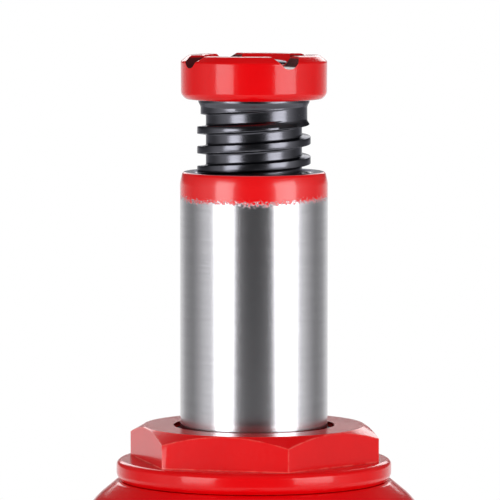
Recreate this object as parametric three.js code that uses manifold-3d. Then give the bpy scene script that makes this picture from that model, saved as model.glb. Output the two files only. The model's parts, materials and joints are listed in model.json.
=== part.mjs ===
// A 20 tonne hydraulic bottle jack with a screw-out saddle, as an assembly of separate pieces.
// Millimetres, +Z up. The origin is on the ram's axis, on the underside of the base. The pump is at the
// front, towards -Y. The ram stands half raised and the extension screw is turned part of the way out.
import * as THREE from "three";
import { mergeVertices } from "three/addons/utils/BufferGeometryUtils.js";
import Module from "manifold-3d";

const wasm = await Module();
wasm.setup();

// ------------------------------------------------ driving dimensions

const fit = 0.3; // radial clearance of everything that slides, turns or screws in a bore
const seat = 0.1; // gap left between faces that rest on each other
const fine = 24; // facets of the large round pieces
const coarse = 12; // facets of the small round pieces
const threadFacets = 14; // facets of one turn of a thread

// Ram, piston and the travel they have
const ramRadius = 22.5;
const ramRimRadius = 21.9;
const ramRimHeight = 3.5;
const lift = 145;
const liftShown = 72.5;
const ramStub = 5; // what stands out of the nut with the ram down
const pistonHeight = 18;
const pistonFloorGap = 2;
const pistonTopGap = 1.9;
const pistonHeadHeight = 11;
const pistonStudRadius = 9;
const pistonNutFlats = 28;

// Extension screw and its thread
const screwTravel = 60;
const screwShown = 14.6;
const thread = { crestRadius: 17.3, rootRadius: 14.65, crestWidth: 2.3, baseWidth: 3.1, pitch: 6 };
const threadClearance = 0.5;
const threadPhase = -12.5; // height of a crest on the +X side, below the saddle
const threadEngaged = 30;
const neckRadius = 16.25;
const neckHeight = 7.5;
const stopRing = { height: 2.5, innerRadius: 13.3, outerRadius: 17.5 };
const screwTipHeight = 4;
const spigotRadius = 8;

// Saddle
const saddleRadius = 22.3;
const saddleHeight = 13.4;
const saddleChamfer = { width: 2.4, height: 1.9 };
const saddleCorner = 1.4;
const saddleRimWidth = 4.2;
const dishDepth = 2.6;
const notch = { count: 4, depth: 3.7, floorWidth: 2.6, topWidth: 9.6, bearing: -61 };
const rivetHeadRadius = 10.5;

// Pressure cylinder, reservoir and the nut that closes them
const glandWall = 6.5; // between the ram and the bore of the cylinder
const cylinderWall = 7;
const reservoirRadius = 51;
const reservoirWall = 3;
const shoulderHeight = 8.6;
const lip = { width: 5.4, height: 3 };
const nutFlats = 68;
const nutHexHeight = 10.4;
const nutCornerBearing = -74.8;
const flangeOverhang = 0.6; // beyond the reservoir's lip
const flangeHeight = 6.3;
const glandLength = 14.5;
const guideBush = { height: 9, wall: 2.5 };
const wiper = { height: 3.5, wall: 3.2, below: 1.4 };
const rodSeal = { height: 3.6, wall: 3 };
const nutGasket = { inset: 1.7, width: 2.8, height: 1.7 };

// Base
const cylinderFloor = 18;
const annulusFloor = 30;
const collarTop = 36;
const collarWall = 4.5;
const skirt = 3; // how far the collar spreads at its foot
const footHeight = 14;
const footChamfer = 3;
const foot = { sideMargin: 9.5, backMargin: 5.5, frontHalfWidth: 46, cornerRadius: 22, taperFrom: 40 };
const seatWasher = 1.5;
const baseGasket = 2;
const grooveDepth = 4;

// Pump
const pumpReach = 28; // from the link's pins out to the pump's axis
const plungerRadius = 7;
const pumpBossRadius = 21;
const pumpBossTop = 40;
const pumpSpigot = { radius: 13, bottom: 26 };
const pumpHex = { flats: 34, height: 10 };
const pumpBarrel = { radius: 14.5, top: 88 };
const pumpWasher = 1.4;
const glandNut = { flats: 28, height: 7, spigotRadius: 11, spigotLength: 6 };
const pumpWiper = { radius: 9.4, height: 3.4 };
const chamber = { radius: 8, bottom: 16 };
const intakePort = 3;
const intakeBall = 4.5;
const plungerEye = { radius: 10, thickness: 11, shoulder: 14.5 };
const plungerSealBottom = 31;

// Linkage between the base, the plunger and the handle socket
const linkMargin = 11; // from the reservoir out to the link's pins
const socketSwing = 40; // degrees, from the lowest position that is modelled
const pinRadius = 4.5;
const eyeSlack = 1.2; // the plunger's eye also takes up the play of the straight link
const plungerPinZ = 108;
const lowerPinZ = 47;
const linkPlate = { innerX: 7.4, thickness: 4, radius: 8 };
const lugHalfWidth = 7;
const socket = { bore: 13.5, wall: 4.5, rise: 8, backFrom: 12, floor: 20, length: 78 };
const cheek = { innerX: 6.3, outerX: 12, radius: 12 };
const clip = { radius: 7.2, thickness: 1.3 };

// Valves in the base: where the axis runs, and how deep from the mouth its seat lies
const valveMargin = 23; // from the pump's axis out to the mouths of the front valves
const releaseValve = { x: 25, z: 12, bossRadius: 11.5, depth: 47, bore: 6.4, port: 2.5, ball: 4 };
const releaseStem = { radius: 5, glandDepth: 10, headOut: 9, headRadius: 8.5, headLength: 14, sealDepth: 18 };
const releaseGland = { flats: 19, height: 7, spigotRadius: 8 };
const deliveryValve = { x: -23, z: 12, bossRadius: 11, depth: 29, bore: 6.3, port: 2.5, ball: 4 };
const deliveryPlug = { flats: 17, height: 6, spigotRadius: 6, spigotLength: 10 };
const reliefValve = { y: 10, z: 9, depth: 27, bore: 5.3, port: 2, ball: 3 };
const reliefPlug = { flats: 15, height: 5, spigotRadius: 5, spigotLength: 6 };
const reliefScrewLength = 6;
const springWire = 0.7;

// Fittings on the reservoir
const fillerZ = 158;
const filler = { hole: 6.3, stem: 6, head: 9, headHeight: 3.2, stemLength: 8 };
const bailMargin = 9; // from the reservoir out to the bail's pivot
const bailZ = 150;
const bail = { wire: 4, armX: 46, drop: 80, corner: 10, endX: 32 };
const ear = { innerX: 34, outerX: 38, radius: 9, hole: 4.4 };
const grip = { radius: 7, halfLength: 30 };

// ------------------------------------------------ places worked out from them

const boreRadius = ramRadius + glandWall;
const cylinderRadius = boreRadius + cylinderWall;
const reservoirInner = reservoirRadius - reservoirWall;
const lipRadius = cylinderRadius + lip.width;
const flangeRadius = lipRadius + flangeOverhang;
const collarRadius = reservoirRadius + collarWall;
const footHalfWidth = collarRadius + foot.sideMargin;
const fulcrumY = -reservoirRadius - linkMargin;
const pumpY = fulcrumY - pumpReach;
const valveMouth = valveMargin - pumpY; // measured from the ram's axis, towards -Y
const bailPivotY = reservoirRadius + bailMargin;

const pistonTopDown = cylinderFloor + pistonFloorGap + pistonHeight;
const glandBottom = pistonTopDown + lift + pistonTopGap;
const flangeBottom = glandBottom + glandLength;
const flangeTop = flangeBottom + flangeHeight;
const nutTop = flangeTop + nutHexHeight;
const ramLength = nutTop + ramStub - pistonTopDown;
const ramZ = pistonTopDown + liftShown;
const ramTop = ramZ + ramLength;
const saddleZ = ramTop + neckHeight + screwShown;
const screwThreadLength = screwTravel + threadEngaged;
const pinReach = (2 * pumpReach) / (1 + Math.cos(rad(socketSwing / 2)));
const fulcrumZ = plungerPinZ + pinReach * Math.sin(rad(socketSwing / 2));
const plungerPinY = fulcrumY - pinReach * Math.cos(rad(socketSwing / 2));

// ------------------------------------------------ materials

const paint = (color, roughness = 0.3) => new THREE.MeshStandardMaterial({ color, roughness });
const metal = (color, roughness) => new THREE.MeshStandardMaterial({ color, roughness, metalness: 1 });
const redPaint = paint(0xd8101a);
const blackOxide = metal(0x1c1c20, 0.4);
const groundSteel = metal(0xc4c4c8, 0.28);
const steel = metal(0x9a9a9e, 0.4);
const zinc = metal(0xb9bcc0, 0.35);
const copper = metal(0xb8673a, 0.4);
const bronze = metal(0xa8803c, 0.4);
const rubber = paint(0x151515, 0.7);
const nylon = paint(0xd8d2bc, 0.5);
const urethane = paint(0x2c6a8a, 0.45);

// ------------------------------------------------ geometry helpers

function rad(degrees) {
  return (degrees * Math.PI) / 180;
}

// A closed three.js geometry as a manifold solid.
function solid(geometry) {
  const bare = geometry.clone();
  bare.deleteAttribute("normal");
  bare.deleteAttribute("uv");
  const merged = mergeVertices(bare, 1e-4);
  return new wasm.Manifold(
    new wasm.Mesh({
      numProp: 3,
      vertProperties: merged.attributes.position.array,
      triVerts: new Uint32Array(merged.index.array),
    }),
  );
}

// A manifold solid back as a three.js geometry.
function geometryOf(made) {
  const mesh = made.getMesh();
  const geometry = new THREE.BufferGeometry();
  geometry.setAttribute("position", new THREE.BufferAttribute(mesh.vertProperties, 3));
  geometry.setIndex(new THREE.BufferAttribute(mesh.triVerts, 1));
  const flat = geometry.toNonIndexed();
  flat.computeVertexNormals();
  return flat;
}

// A turned piece about Z: the profile's [radius, height] points run anticlockwise, and it closes itself.
function turned(profile, facets = fine) {
  const points = profile.map(([r, z]) => new THREE.Vector2(r, z));
  const first = profile[0];
  const last = profile[profile.length - 1];
  if (first[0] > 0 || last[0] > 0) points.push(points[0].clone());
  const geometry = new THREE.LatheGeometry(points, facets);
  geometry.rotateX(Math.PI / 2);
  return solid(geometry);
}

function cylinder(radius, bottom, top, facets = fine) {
  return turned([[0, bottom], [radius, bottom], [radius, top], [0, top]], facets);
}

function ring(inner, outer, bottom, top, facets = fine) {
  return turned([[inner, bottom], [outer, bottom], [outer, top], [inner, top]], facets);
}

// A rounded sealing ring: its section is a flattened hexagon between two radii and two heights.
function sealRing(inner, outer, bottom, top, facets = coarse) {
  const r = (outer - inner) * 0.3;
  const middle = (bottom + top) / 2;
  const section = [
    [inner + r, bottom], [outer - r, bottom], [outer, middle], [outer - r, top], [inner + r, top],
    [inner, middle],
  ];
  return turned(section, facets);
}

function ball(radius, x, y, z) {
  return solid(new THREE.SphereGeometry(radius, 10, 7)).translate([x, y, z]);
}

// The same solid with its Z axis laid along another axis.
const alongX = (made) => made.rotate([0, 90, 0]);
const alongMinusY = (made) => made.rotate([90, 0, 0]);

// A drilled hole between two points.
function drilled(radius, from, to) {
  const start = new THREE.Vector3(...from);
  const way = new THREE.Vector3(...to).sub(start);
  const geometry = new THREE.CylinderGeometry(radius, radius, way.length(), 8);
  geometry.translate(0, way.length() / 2, 0);
  const turn = new THREE.Quaternion().setFromUnitVectors(new THREE.Vector3(0, 1, 0), way.normalize());
  geometry.applyQuaternion(turn);
  geometry.translate(start.x, start.y, start.z);
  return solid(geometry);
}

function box(x0, x1, y0, y1, z0, z1) {
  const geometry = new THREE.BoxGeometry(x1 - x0, y1 - y0, z1 - z0);
  geometry.translate((x0 + x1) / 2, (y0 + y1) / 2, (z0 + z1) / 2);
  return solid(geometry);
}

// A plate between two x values, cut to an outline drawn in Y and Z.
function plateX(outline, x0, x1, curveSegments = 8) {
  const options = { depth: x1 - x0, bevelEnabled: false, curveSegments };
  const geometry = new THREE.ExtrudeGeometry(outline, options);
  const axes = [[0, 1, 0], [0, 0, 1], [1, 0, 0]].map((axis) => new THREE.Vector3(...axis));
  geometry.applyMatrix4(new THREE.Matrix4().makeBasis(...axes));
  geometry.translate(x0, 0, 0);
  return solid(geometry);
}

// A hole along X for one of the linkage's pins.
function pinHole(y, z, slack = fit) {
  return alongX(cylinder(pinRadius + slack, -50, 50, coarse)).translate([0, y, z]);
}

// A bar outline with round ends: centres at two [y, z] points.
function roundBar([y0, z0], [y1, z1], r0, r1) {
  const along = Math.atan2(z1 - z0, y1 - y0);
  const lean = Math.acos((r0 - r1) / Math.hypot(y1 - y0, z1 - z0));
  const outline = new THREE.Shape();
  outline.absarc(y0, z0, r0, along + lean, along - lean + 2 * Math.PI, false);
  outline.absarc(y1, z1, r1, along - lean, along + lean, false);
  outline.closePath();
  return outline;
}

// A hexagonal bar about Z, with one of its corners at a bearing in degrees from +X.
function hexBar(flats, bottom, top, cornerBearing = 0) {
  const corner = flats / Math.sqrt(3);
  return cylinder(corner, bottom, top, 6).rotate([0, 0, cornerBearing - 90]);
}

// A hexagonal head whose upper corners are turned off at 30 degrees.
function hexHead(flats, bottom, top, cornerBearing = 0) {
  const inner = flats / 2 - 0.3;
  const outer = flats;
  const drop = (outer - inner) * Math.tan(rad(30));
  const cone = turned([[0, bottom - 1], [outer, bottom - 1], [outer, top - drop], [inner, top], [0, top]]);
  return hexBar(flats, bottom, top, cornerBearing).intersect(cone);
}

// A right-hand threaded rod about Z from bottom to top. phase is the height of a crest on the +X side.
function threadedRod({ crestRadius, rootRadius, crestWidth, baseWidth, pitch }, phase, bottom, top) {
  const section = [
    [-baseWidth / 2, rootRadius],
    [-crestWidth / 2, crestRadius],
    [crestWidth / 2, crestRadius],
    [baseWidth / 2, rootRadius],
  ];
  const steps = threadFacets;
  const firstTurn = Math.floor((bottom - phase) / pitch) - 2;
  const turns = Math.ceil((top - phase) / pitch) + 2 - firstTurn;
  const rows = turns * section.length;
  const positions = [];
  for (let step = 0; step < steps; step++) {
    const angle = (2 * Math.PI * step) / steps;
    for (let turn = 0; turn < turns; turn++) {
      const crest = phase + pitch * (firstTurn + turn + step / steps);
      for (const [dz, r] of section) positions.push(r * Math.cos(angle), r * Math.sin(angle), crest + dz);
    }
  }
  const at = (step, row) => (step % steps) * rows + row + (step >= steps ? section.length : 0);
  const faces = [];
  for (let step = 0; step < steps; step++) {
    const last = step === steps - 1 ? rows - section.length : rows;
    for (let row = 0; row < last - 1; row++) {
      faces.push(at(step, row), at(step + 1, row), at(step + 1, row + 1));
      faces.push(at(step, row), at(step + 1, row + 1), at(step, row + 1));
    }
  }
  // Each end is a fan from the axis over the rim, which steps down by one pitch where the helix closes.
  const rim = { low: [], high: [] };
  for (let step = 0; step <= steps; step++) rim.low.push(at(step, 0));
  for (let row = section.length - 1; row > 0; row--) rim.low.push(at(0, row));
  for (let step = 0; step < steps; step++) rim.high.push(at(step, rows - 1));
  for (let row = rows - 2; row >= rows - 1 - section.length; row--) rim.high.push(at(steps - 1, row));
  const middle = (points) => points.reduce((sum, i) => sum + positions[3 * i + 2], 0) / points.length;
  const lowCentre = positions.length / 3;
  positions.push(0, 0, middle(rim.low), 0, 0, middle(rim.high));
  rim.low.forEach((a, i) => {
    const b = rim.low[(i + 1) % rim.low.length];
    faces.push(b, a, lowCentre);
  });
  rim.high.forEach((a, i) => {
    const b = rim.high[(i + 1) % rim.high.length];
    faces.push(a, b, lowCentre + 1);
  });
  const geometry = new THREE.BufferGeometry();
  geometry.setAttribute("position", new THREE.Float32BufferAttribute(positions, 3));
  geometry.setIndex(faces);
  return solid(geometry).intersect(cylinder(crestRadius + 1, bottom, top));
}

// A compression spring about Z between two heights.
function coilSpring(radius, wire, bottom, top, turns) {
  class Helix extends THREE.Curve {
    getPoint(t) {
      const angle = 2 * Math.PI * turns * t;
      const z = bottom + wire + (top - bottom - 2 * wire) * t;
      return new THREE.Vector3(radius * Math.cos(angle), radius * Math.sin(angle), z);
    }
  }
  const section = new THREE.Shape().absarc(0, 0, wire, 0, 2 * Math.PI, false);
  const options = { steps: turns * 8, extrudePath: new Helix(), curveSegments: 2 };
  return solid(new THREE.ExtrudeGeometry(section, options));
}

// ------------------------------------------------ the assembly tree

const jack = new THREE.Group();
const ramGroup = new THREE.Group(); // its origin is the top face of the piston head
const screwGroup = new THREE.Group(); // its origin is the underside of the saddle
const pump = new THREE.Group(); // its origin is on the plunger's axis
ramGroup.position.z = ramZ;
screwGroup.position.z = saddleZ;
pump.position.y = pumpY;
jack.add(ramGroup, screwGroup, pump);

function add(group, name, made, material) {
  const mesh = new THREE.Mesh(geometryOf(made), material);
  mesh.name = name;
  group.add(mesh);
}

// ------------------------------------------------ base casting

function footPlate() {
  const { frontHalfWidth, cornerRadius: r, taperFrom } = foot;
  const halfWidth = footHalfWidth;
  const back = collarRadius + foot.backMargin;
  const front = -valveMouth;
  const outline = new THREE.Shape();
  outline.moveTo(-halfWidth, back - r);
  outline.lineTo(-halfWidth, -taperFrom);
  outline.lineTo(-frontHalfWidth, front + r);
  outline.quadraticCurveTo(-frontHalfWidth, front, -frontHalfWidth + r, front);
  outline.lineTo(frontHalfWidth - r, front);
  outline.quadraticCurveTo(frontHalfWidth, front, frontHalfWidth, front + r);
  outline.lineTo(halfWidth, -taperFrom);
  outline.lineTo(halfWidth, back - r);
  outline.absarc(halfWidth - r, back - r, r, 0, Math.PI / 2, false);
  outline.lineTo(-halfWidth + r, back);
  outline.absarc(-halfWidth + r, back - r, r, Math.PI / 2, Math.PI, false);
  const bevel = {
    depth: footHeight - 2 * footChamfer,
    bevelEnabled: true,
    bevelSize: footChamfer,
    bevelOffset: -footChamfer,
    bevelThickness: footChamfer,
    bevelSegments: 1,
    curveSegments: 6,
  };
  const plate = solid(new THREE.ExtrudeGeometry(outline, bevel)).translate([0, 0, footChamfer]);
  const flatFoot = solid(
    new THREE.ExtrudeGeometry(outline, { depth: footChamfer + 1, bevelEnabled: false, curveSegments: 6 }),
  );
  return plate.add(flatFoot);
}

// A piece drawn with its axis up, laid along -Y on a front valve's axis.
function placeFrontValve(made, { x, z }) {
  return alongMinusY(made).translate([x, 0, z]);
}

// A piece drawn with its axis up, laid along -X on the relief valve's axis.
function placeRelief(made) {
  return made.rotate([0, -90, 0]).translate([0, reliefValve.y, reliefValve.z]);
}

const valveBoss = (valve) =>
  placeFrontValve(cylinder(valve.bossRadius, collarRadius + 4, valveMouth, coarse), valve);
const seatOf = (valve) => valveMouth - valve.depth;

function baseCasting() {
  const lug = roundBar([fulcrumY, annulusFloor - 4], [fulcrumY, lowerPinZ], 9, 8);
  let casting = footPlate();
  casting = casting.add(
    turned([
      [0, 1], [collarRadius + skirt, 1], [collarRadius + skirt, footHeight + 4],
      [collarRadius, footHeight + 9], [collarRadius, collarTop - 1.2], [collarRadius - 1.2, collarTop],
      [0, collarTop],
    ]),
  );
  const boss = turned([
    [0, 1], [pumpBossRadius + 2, 1], [pumpBossRadius + 2, footHeight + 4], [pumpBossRadius, footHeight + 9],
    [pumpBossRadius, pumpBossTop - 1.5], [pumpBossRadius - 1.5, pumpBossTop], [0, pumpBossTop],
  ], coarse);
  casting = casting.add(boss.translate([0, pumpY, 0]));
  casting = casting.add(box(-19, 19, pumpY, -reservoirInner, 1, annulusFloor + 2));
  casting = casting.add(plateX(lug, -lugHalfWidth, lugHalfWidth));
  casting = casting.add(valveBoss(releaseValve)).add(valveBoss(deliveryValve));
  casting = casting.intersect(box(-200, 200, -200, 200, 0, 200));

  // Seats of the cylinder and the reservoir, and the annulus between them that oil fills
  casting = casting.subtract(cylinder(cylinderRadius + fit, cylinderFloor, 200));
  casting = casting.subtract(ring(cylinderRadius - 1, reservoirInner + 1, annulusFloor, 200));
  const grooveFloor = annulusFloor - grooveDepth;
  casting = casting.subtract(ring(reservoirInner - fit, reservoirRadius + fit, grooveFloor, 200));

  // Pump seat, its chamber and the port under the intake ball
  const pumpBore = cylinder(pumpSpigot.radius + fit, pumpSpigot.bottom, 200, coarse)
    .add(cylinder(chamber.radius, chamber.bottom, pumpSpigot.bottom + 1, coarse))
    .add(cylinder(intakePort, 11, chamber.bottom + 1, 12));
  casting = casting.subtract(pumpBore.translate([0, pumpY, 0]));
  casting = casting.subtract(pinHole(fulcrumY, lowerPinZ));

  // Valve bores, each with its port beyond the seat
  for (const valve of [releaseValve, deliveryValve]) {
    casting = casting.subtract(placeFrontValve(cylinder(valve.bore, seatOf(valve), 200, coarse), valve));
  }
  const glandFloor = valveMouth - releaseStem.glandDepth;
  const mouthBore = cylinder(releaseGland.spigotRadius + fit, glandFloor, 200, coarse);
  casting = casting.subtract(placeFrontValve(mouthBore, releaseValve));
  const reliefSeat = footHalfWidth - reliefValve.depth;
  casting = casting.subtract(placeRelief(cylinder(reliefValve.bore, reliefSeat, 200, coarse)));

  // Oil ways: the radius of each drilling, and the two points that it runs between
  const { x: dx, z: dz } = deliveryValve;
  const { x: rx, z: rz } = releaseValve;
  const { y: vy, z: vz } = reliefValve;
  const deliverySeat = -seatOf(deliveryValve);
  const releaseSeat = -seatOf(releaseValve);
  const annulusMid = (cylinderRadius + reservoirInner) / 2;
  const crossDrill = deliverySeat - 13;
  const underFloor = 4.5;
  const drain = annulusMid * Math.SQRT1_2;
  const passages = [
    [2.5, [0, pumpY, 11], [0, -annulusMid, 11]],
    [2.5, [0, -annulusMid, 9], [0, -annulusMid, annulusFloor + 1]],
    [2.2, [dx, deliverySeat + 4, dz], [-3, pumpY + 2, chamber.bottom + 4]],
    [deliveryValve.port, [dx, deliverySeat - 1, dz], [dx, deliverySeat + 5, dz]],
    [2, [dx, crossDrill, dz], [dx, crossDrill, underFloor - 0.5]],
    [2, [dx, crossDrill - 1.5, underFloor], [dx, -15, underFloor]],
    [2, [dx, -15, underFloor - 1], [dx, -15, cylinderFloor + 1]],
    [releaseValve.port, [rx, releaseSeat - 1, rz], [rx, -11, rz]],
    [releaseValve.port, [rx, -12, rz - 2], [rx, -12, cylinderFloor + 1]],
    [2, [rx, releaseSeat - 10, rz + 2], [drain, -drain, annulusFloor + 1]],
    [reliefValve.port, [-reliefSeat - 1, vy, vz], [-21, vy, vz]],
    [reliefValve.port, [-23, vy, vz - 1.5], [-23, vy, cylinderFloor + 1]],
    [1.8, [-annulusMid, vy, vz], [-annulusMid, vy, annulusFloor + 1]],
  ];
  for (const [radius, from, to] of passages) casting = casting.subtract(drilled(radius, from, to));
  return casting;
}

add(jack, "base", baseCasting(), redPaint);

// ------------------------------------------------ pressure cylinder and reservoir

const washerTop = cylinderFloor + seat + seatWasher;
add(jack, "cylinder_seat_washer", ring(boreRadius, cylinderRadius, cylinderFloor + seat, washerTop), copper);
const pressureCylinder = ring(boreRadius, cylinderRadius, washerTop + seat, flangeBottom - seat);
add(jack, "pressure_cylinder", pressureCylinder, steel);

const gasketBottom = annulusFloor - grooveDepth + seat;
const baseGasketRing = ring(reservoirInner, reservoirRadius, gasketBottom, gasketBottom + baseGasket);
add(jack, "reservoir_base_gasket", baseGasketRing, rubber);

function reservoirCasing() {
  const bottom = gasketBottom + baseGasket + seat;
  const top = flangeBottom - seat;
  const bend = top - shoulderHeight;
  const slope = (reservoirRadius - lipRadius) / shoulderHeight;
  const casing = turned([
    [reservoirInner, bottom], [reservoirRadius, bottom], [reservoirRadius, bend - 2],
    [reservoirRadius - 0.5, bend + 0.4], [reservoirRadius - 2.3, bend + 2.6],
    [lipRadius, top], [cylinderRadius + fit, top], [cylinderRadius + fit, top - lip.height],
    [lipRadius - 0.6 * slope, top - lip.height], [reservoirInner - 1.6, bend + 0.6],
    [reservoirInner, bend - 2.4],
  ]);
  const hole = alongX(cylinder(filler.hole, -reservoirRadius - 5, -reservoirInner + 5, coarse));
  return casing.subtract(hole.translate([0, 0, fillerZ]));
}

add(jack, "reservoir_casing", reservoirCasing(), redPaint);

// ------------------------------------------------ top nut and what seals the ram

const nutBore = ramRadius + fit;
const wiperTop = nutTop - wiper.below;
const rodSealBottom = flangeBottom + 1;
const gasketInner = cylinderRadius + nutGasket.inset;

function topNut() {
  const hex = hexHead(nutFlats, flangeBottom + 1, nutTop, nutCornerBearing);
  const flange = turned([
    [0, flangeBottom], [flangeRadius - 1.2, flangeBottom], [flangeRadius - 0.3, flangeBottom + 1],
    [flangeRadius, flangeTop - 1.2], [flangeRadius - 0.4, flangeTop - 0.4], [flangeRadius - 1.3, flangeTop],
    [0, flangeTop],
  ]);
  const gland = cylinder(boreRadius - fit, glandBottom, flangeBottom + 1);
  const groove = (inner, height, bottom) => ring(nutBore - 1, inner, bottom, bottom + height);
  return hex
    .add(flange)
    .add(gland)
    .subtract(cylinder(nutBore, 0, 400))
    .subtract(groove(nutBore + wiper.wall, wiper.height + 2 * seat, wiperTop - wiper.height - seat))
    .subtract(groove(nutBore + rodSeal.wall, rodSeal.height + 2 * seat, rodSealBottom - seat))
    .subtract(groove(nutBore + guideBush.wall + fit, guideBush.height + 1, glandBottom - 1))
    .subtract(ring(gasketInner - fit, gasketInner + nutGasket.width + fit, flangeBottom - 1,
      flangeBottom + nutGasket.height + seat));
}

add(jack, "top_nut", topNut(), redPaint);
add(jack, "top_nut_gasket",
  ring(gasketInner, gasketInner + nutGasket.width, flangeBottom, flangeBottom + nutGasket.height), rubber);
add(jack, "ram_wiper",
  sealRing(nutBore, nutBore + wiper.wall - fit, wiperTop - wiper.height, wiperTop, fine), rubber);
add(jack, "ram_rod_seal",
  ring(nutBore, nutBore + rodSeal.wall - fit, rodSealBottom, rodSealBottom + rodSeal.height), urethane);
add(jack, "ram_guide_bush",
  ring(nutBore, nutBore + guideBush.wall, glandBottom + seat, glandBottom + guideBush.height - seat), bronze);

// ------------------------------------------------ ram and piston

const boreDepth = screwThreadLength + stopRing.height + 2 * seat + screwTipHeight + 3;
const rimZ = ramLength - ramRimHeight;

function ram() {
  const internal = {
    crestRadius: thread.crestRadius + threadClearance,
    rootRadius: thread.rootRadius + threadClearance,
    crestWidth: thread.crestWidth + threadClearance,
    baseWidth: thread.baseWidth + threadClearance,
    pitch: thread.pitch,
  };
  const phase = ramLength + neckHeight + screwShown + threadPhase;
  const tapBottom = ramLength - threadEngaged + fit;
  const wide = thread.crestRadius + threadClearance;
  const rod = turned([
    [0, -pistonHeight], [pistonStudRadius, -pistonHeight], [pistonStudRadius, 0], [ramRadius - 1, 0],
    [ramRadius, 1], [ramRadius, rimZ], [ramRimRadius, ramLength - 0.8], [ramRimRadius - 0.7, ramLength],
    [0, ramLength],
  ]);
  return rod
    .subtract(threadedRod(internal, phase, tapBottom - 1, ramLength + 5))
    .subtract(cylinder(wide, ramLength - boreDepth, tapBottom));
}

add(ramGroup, "ram", ram(), groundSteel);

const pistonRadius = boreRadius - fit;
const pistonGroove = { bottom: -9.2, split: -5.2, top: -3.2, radius: 24 };
const pistonHead = turned([
  [pistonStudRadius + fit, -pistonHeadHeight], [pistonRadius - 1, -pistonHeadHeight],
  [pistonRadius, -pistonHeadHeight + 1], [pistonRadius, pistonGroove.bottom],
  [pistonGroove.radius, pistonGroove.bottom], [pistonGroove.radius, pistonGroove.top],
  [pistonRadius, pistonGroove.top], [pistonRadius, -seat], [pistonStudRadius + fit, -seat],
]);
add(ramGroup, "piston_head", pistonHead, steel);
const sealBottom = pistonGroove.bottom + seat;
const pistonSeal = ring(pistonGroove.radius + fit, pistonRadius, sealBottom, pistonGroove.split - seat);
add(ramGroup, "piston_seal", pistonSeal, urethane);
add(ramGroup, "piston_backup_ring",
  ring(pistonGroove.radius + fit, pistonRadius, pistonGroove.split, pistonGroove.top - seat), nylon);
const pistonNut = hexBar(pistonNutFlats, -pistonHeight, -pistonHeadHeight - seat)
  .subtract(cylinder(pistonStudRadius + fit, -100, 100));
add(ramGroup, "piston_nut", pistonNut, zinc);

// ------------------------------------------------ extension screw and saddle

const threadTop = -neckHeight;
const threadEnd = threadTop - screwThreadLength;
const ringTop = threadEnd - seat;
const ringBottom = ringTop - stopRing.height;
const tipEnd = ringBottom - seat - screwTipHeight;
const dishFloor = saddleHeight - dishDepth;

const extensionScrew = threadedRod(thread, threadPhase, threadEnd, threadTop - 0.5)
  .add(turned([
    [0, tipEnd], [thread.rootRadius - 2, tipEnd], [thread.rootRadius - 0.4, tipEnd + 1.5],
    [thread.rootRadius - 0.4, ringBottom - seat], [stopRing.innerRadius - fit, ringBottom - seat],
    [stopRing.innerRadius - fit, threadEnd + 2], [0, threadEnd + 2],
  ], threadFacets))
  .add(turned([
    [0, threadTop - 1], [thread.rootRadius, threadTop - 1], [thread.rootRadius, threadTop],
    [neckRadius - 0.5, threadTop + seat], [neckRadius, threadTop + 0.6], [neckRadius, -2.5],
    [neckRadius + 0.7, -0.6], [neckRadius + 0.7, -seat], [spigotRadius, -seat],
    [spigotRadius, dishFloor - 1.6],
    [rivetHeadRadius, dishFloor + 0.3], [rivetHeadRadius - 0.8, dishFloor + 0.9], [0, dishFloor + 1.4],
  ]));
add(screwGroup, "extension_screw", extensionScrew, blackOxide);
const stopRingMade = ring(stopRing.innerRadius, stopRing.outerRadius, ringBottom, ringTop);
add(screwGroup, "screw_stop_ring", stopRingMade, zinc);

// One tapered slot across half of the saddle's rim, pointing along +X.
function rimNotch() {
  const outline = new THREE.Shape();
  const slope = (notch.topWidth - notch.floorWidth) / 2 / notch.depth;
  const above = 2;
  const half = notch.topWidth / 2 + slope * above;
  outline.moveTo(-notch.floorWidth / 2, saddleHeight - notch.depth);
  outline.lineTo(notch.floorWidth / 2, saddleHeight - notch.depth);
  outline.lineTo(half, saddleHeight + above);
  outline.lineTo(-half, saddleHeight + above);
  outline.closePath();
  return plateX(outline, rivetHeadRadius + 2, saddleRadius + 5);
}

function saddle() {
  const flatRadius = saddleRadius - saddleChamfer.width;
  const dishRadius = flatRadius - saddleRimWidth;
  const hole = spigotRadius + fit;
  let cap = turned([
    [hole, 0], [saddleRadius - saddleCorner - 0.2, 0], [saddleRadius - 0.5, saddleCorner * 0.45],
    [saddleRadius - 0.15, saddleCorner + 0.3], [saddleRadius, saddleHeight - saddleChamfer.height],
    [flatRadius, saddleHeight], [dishRadius, saddleHeight], [dishRadius - 1, dishFloor],
    [rivetHeadRadius + fit, dishFloor], [hole, dishFloor - 1.6 - fit],
  ]);
  for (let i = 0; i < notch.count; i++) {
    const bearing = notch.bearing + (360 * i) / notch.count;
    cap = cap.subtract(rimNotch().rotate([0, 0, bearing]));
  }
  return cap;
}

add(screwGroup, "saddle", saddle(), redPaint);

// ------------------------------------------------ pump

const spigotBottom = pumpSpigot.bottom + pumpWasher + 2 * seat;
const hexBottom = pumpBossTop + seat;
const glandRecess = pumpBarrel.top - glandNut.spigotLength - seat;
const plungerBore = plungerRadius + fit;

const barrel = cylinder(pumpSpigot.radius, spigotBottom, hexBottom + 1, coarse)
  .add(hexHead(pumpHex.flats, hexBottom, hexBottom + pumpHex.height))
  .add(turned([[0, hexBottom], [pumpBarrel.radius, hexBottom], [pumpBarrel.radius, pumpBarrel.top - 1],
    [pumpBarrel.radius - 1, pumpBarrel.top], [0, pumpBarrel.top]], coarse))
  .subtract(cylinder(plungerBore, 0, 200, coarse))
  .subtract(cylinder(glandNut.spigotRadius + fit, glandRecess, 200, coarse));
add(pump, "pump_barrel", barrel, redPaint);
add(pump, "pump_barrel_washer",
  ring(chamber.radius + 1, pumpSpigot.radius, pumpSpigot.bottom + seat, spigotBottom - seat, coarse), copper);

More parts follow.
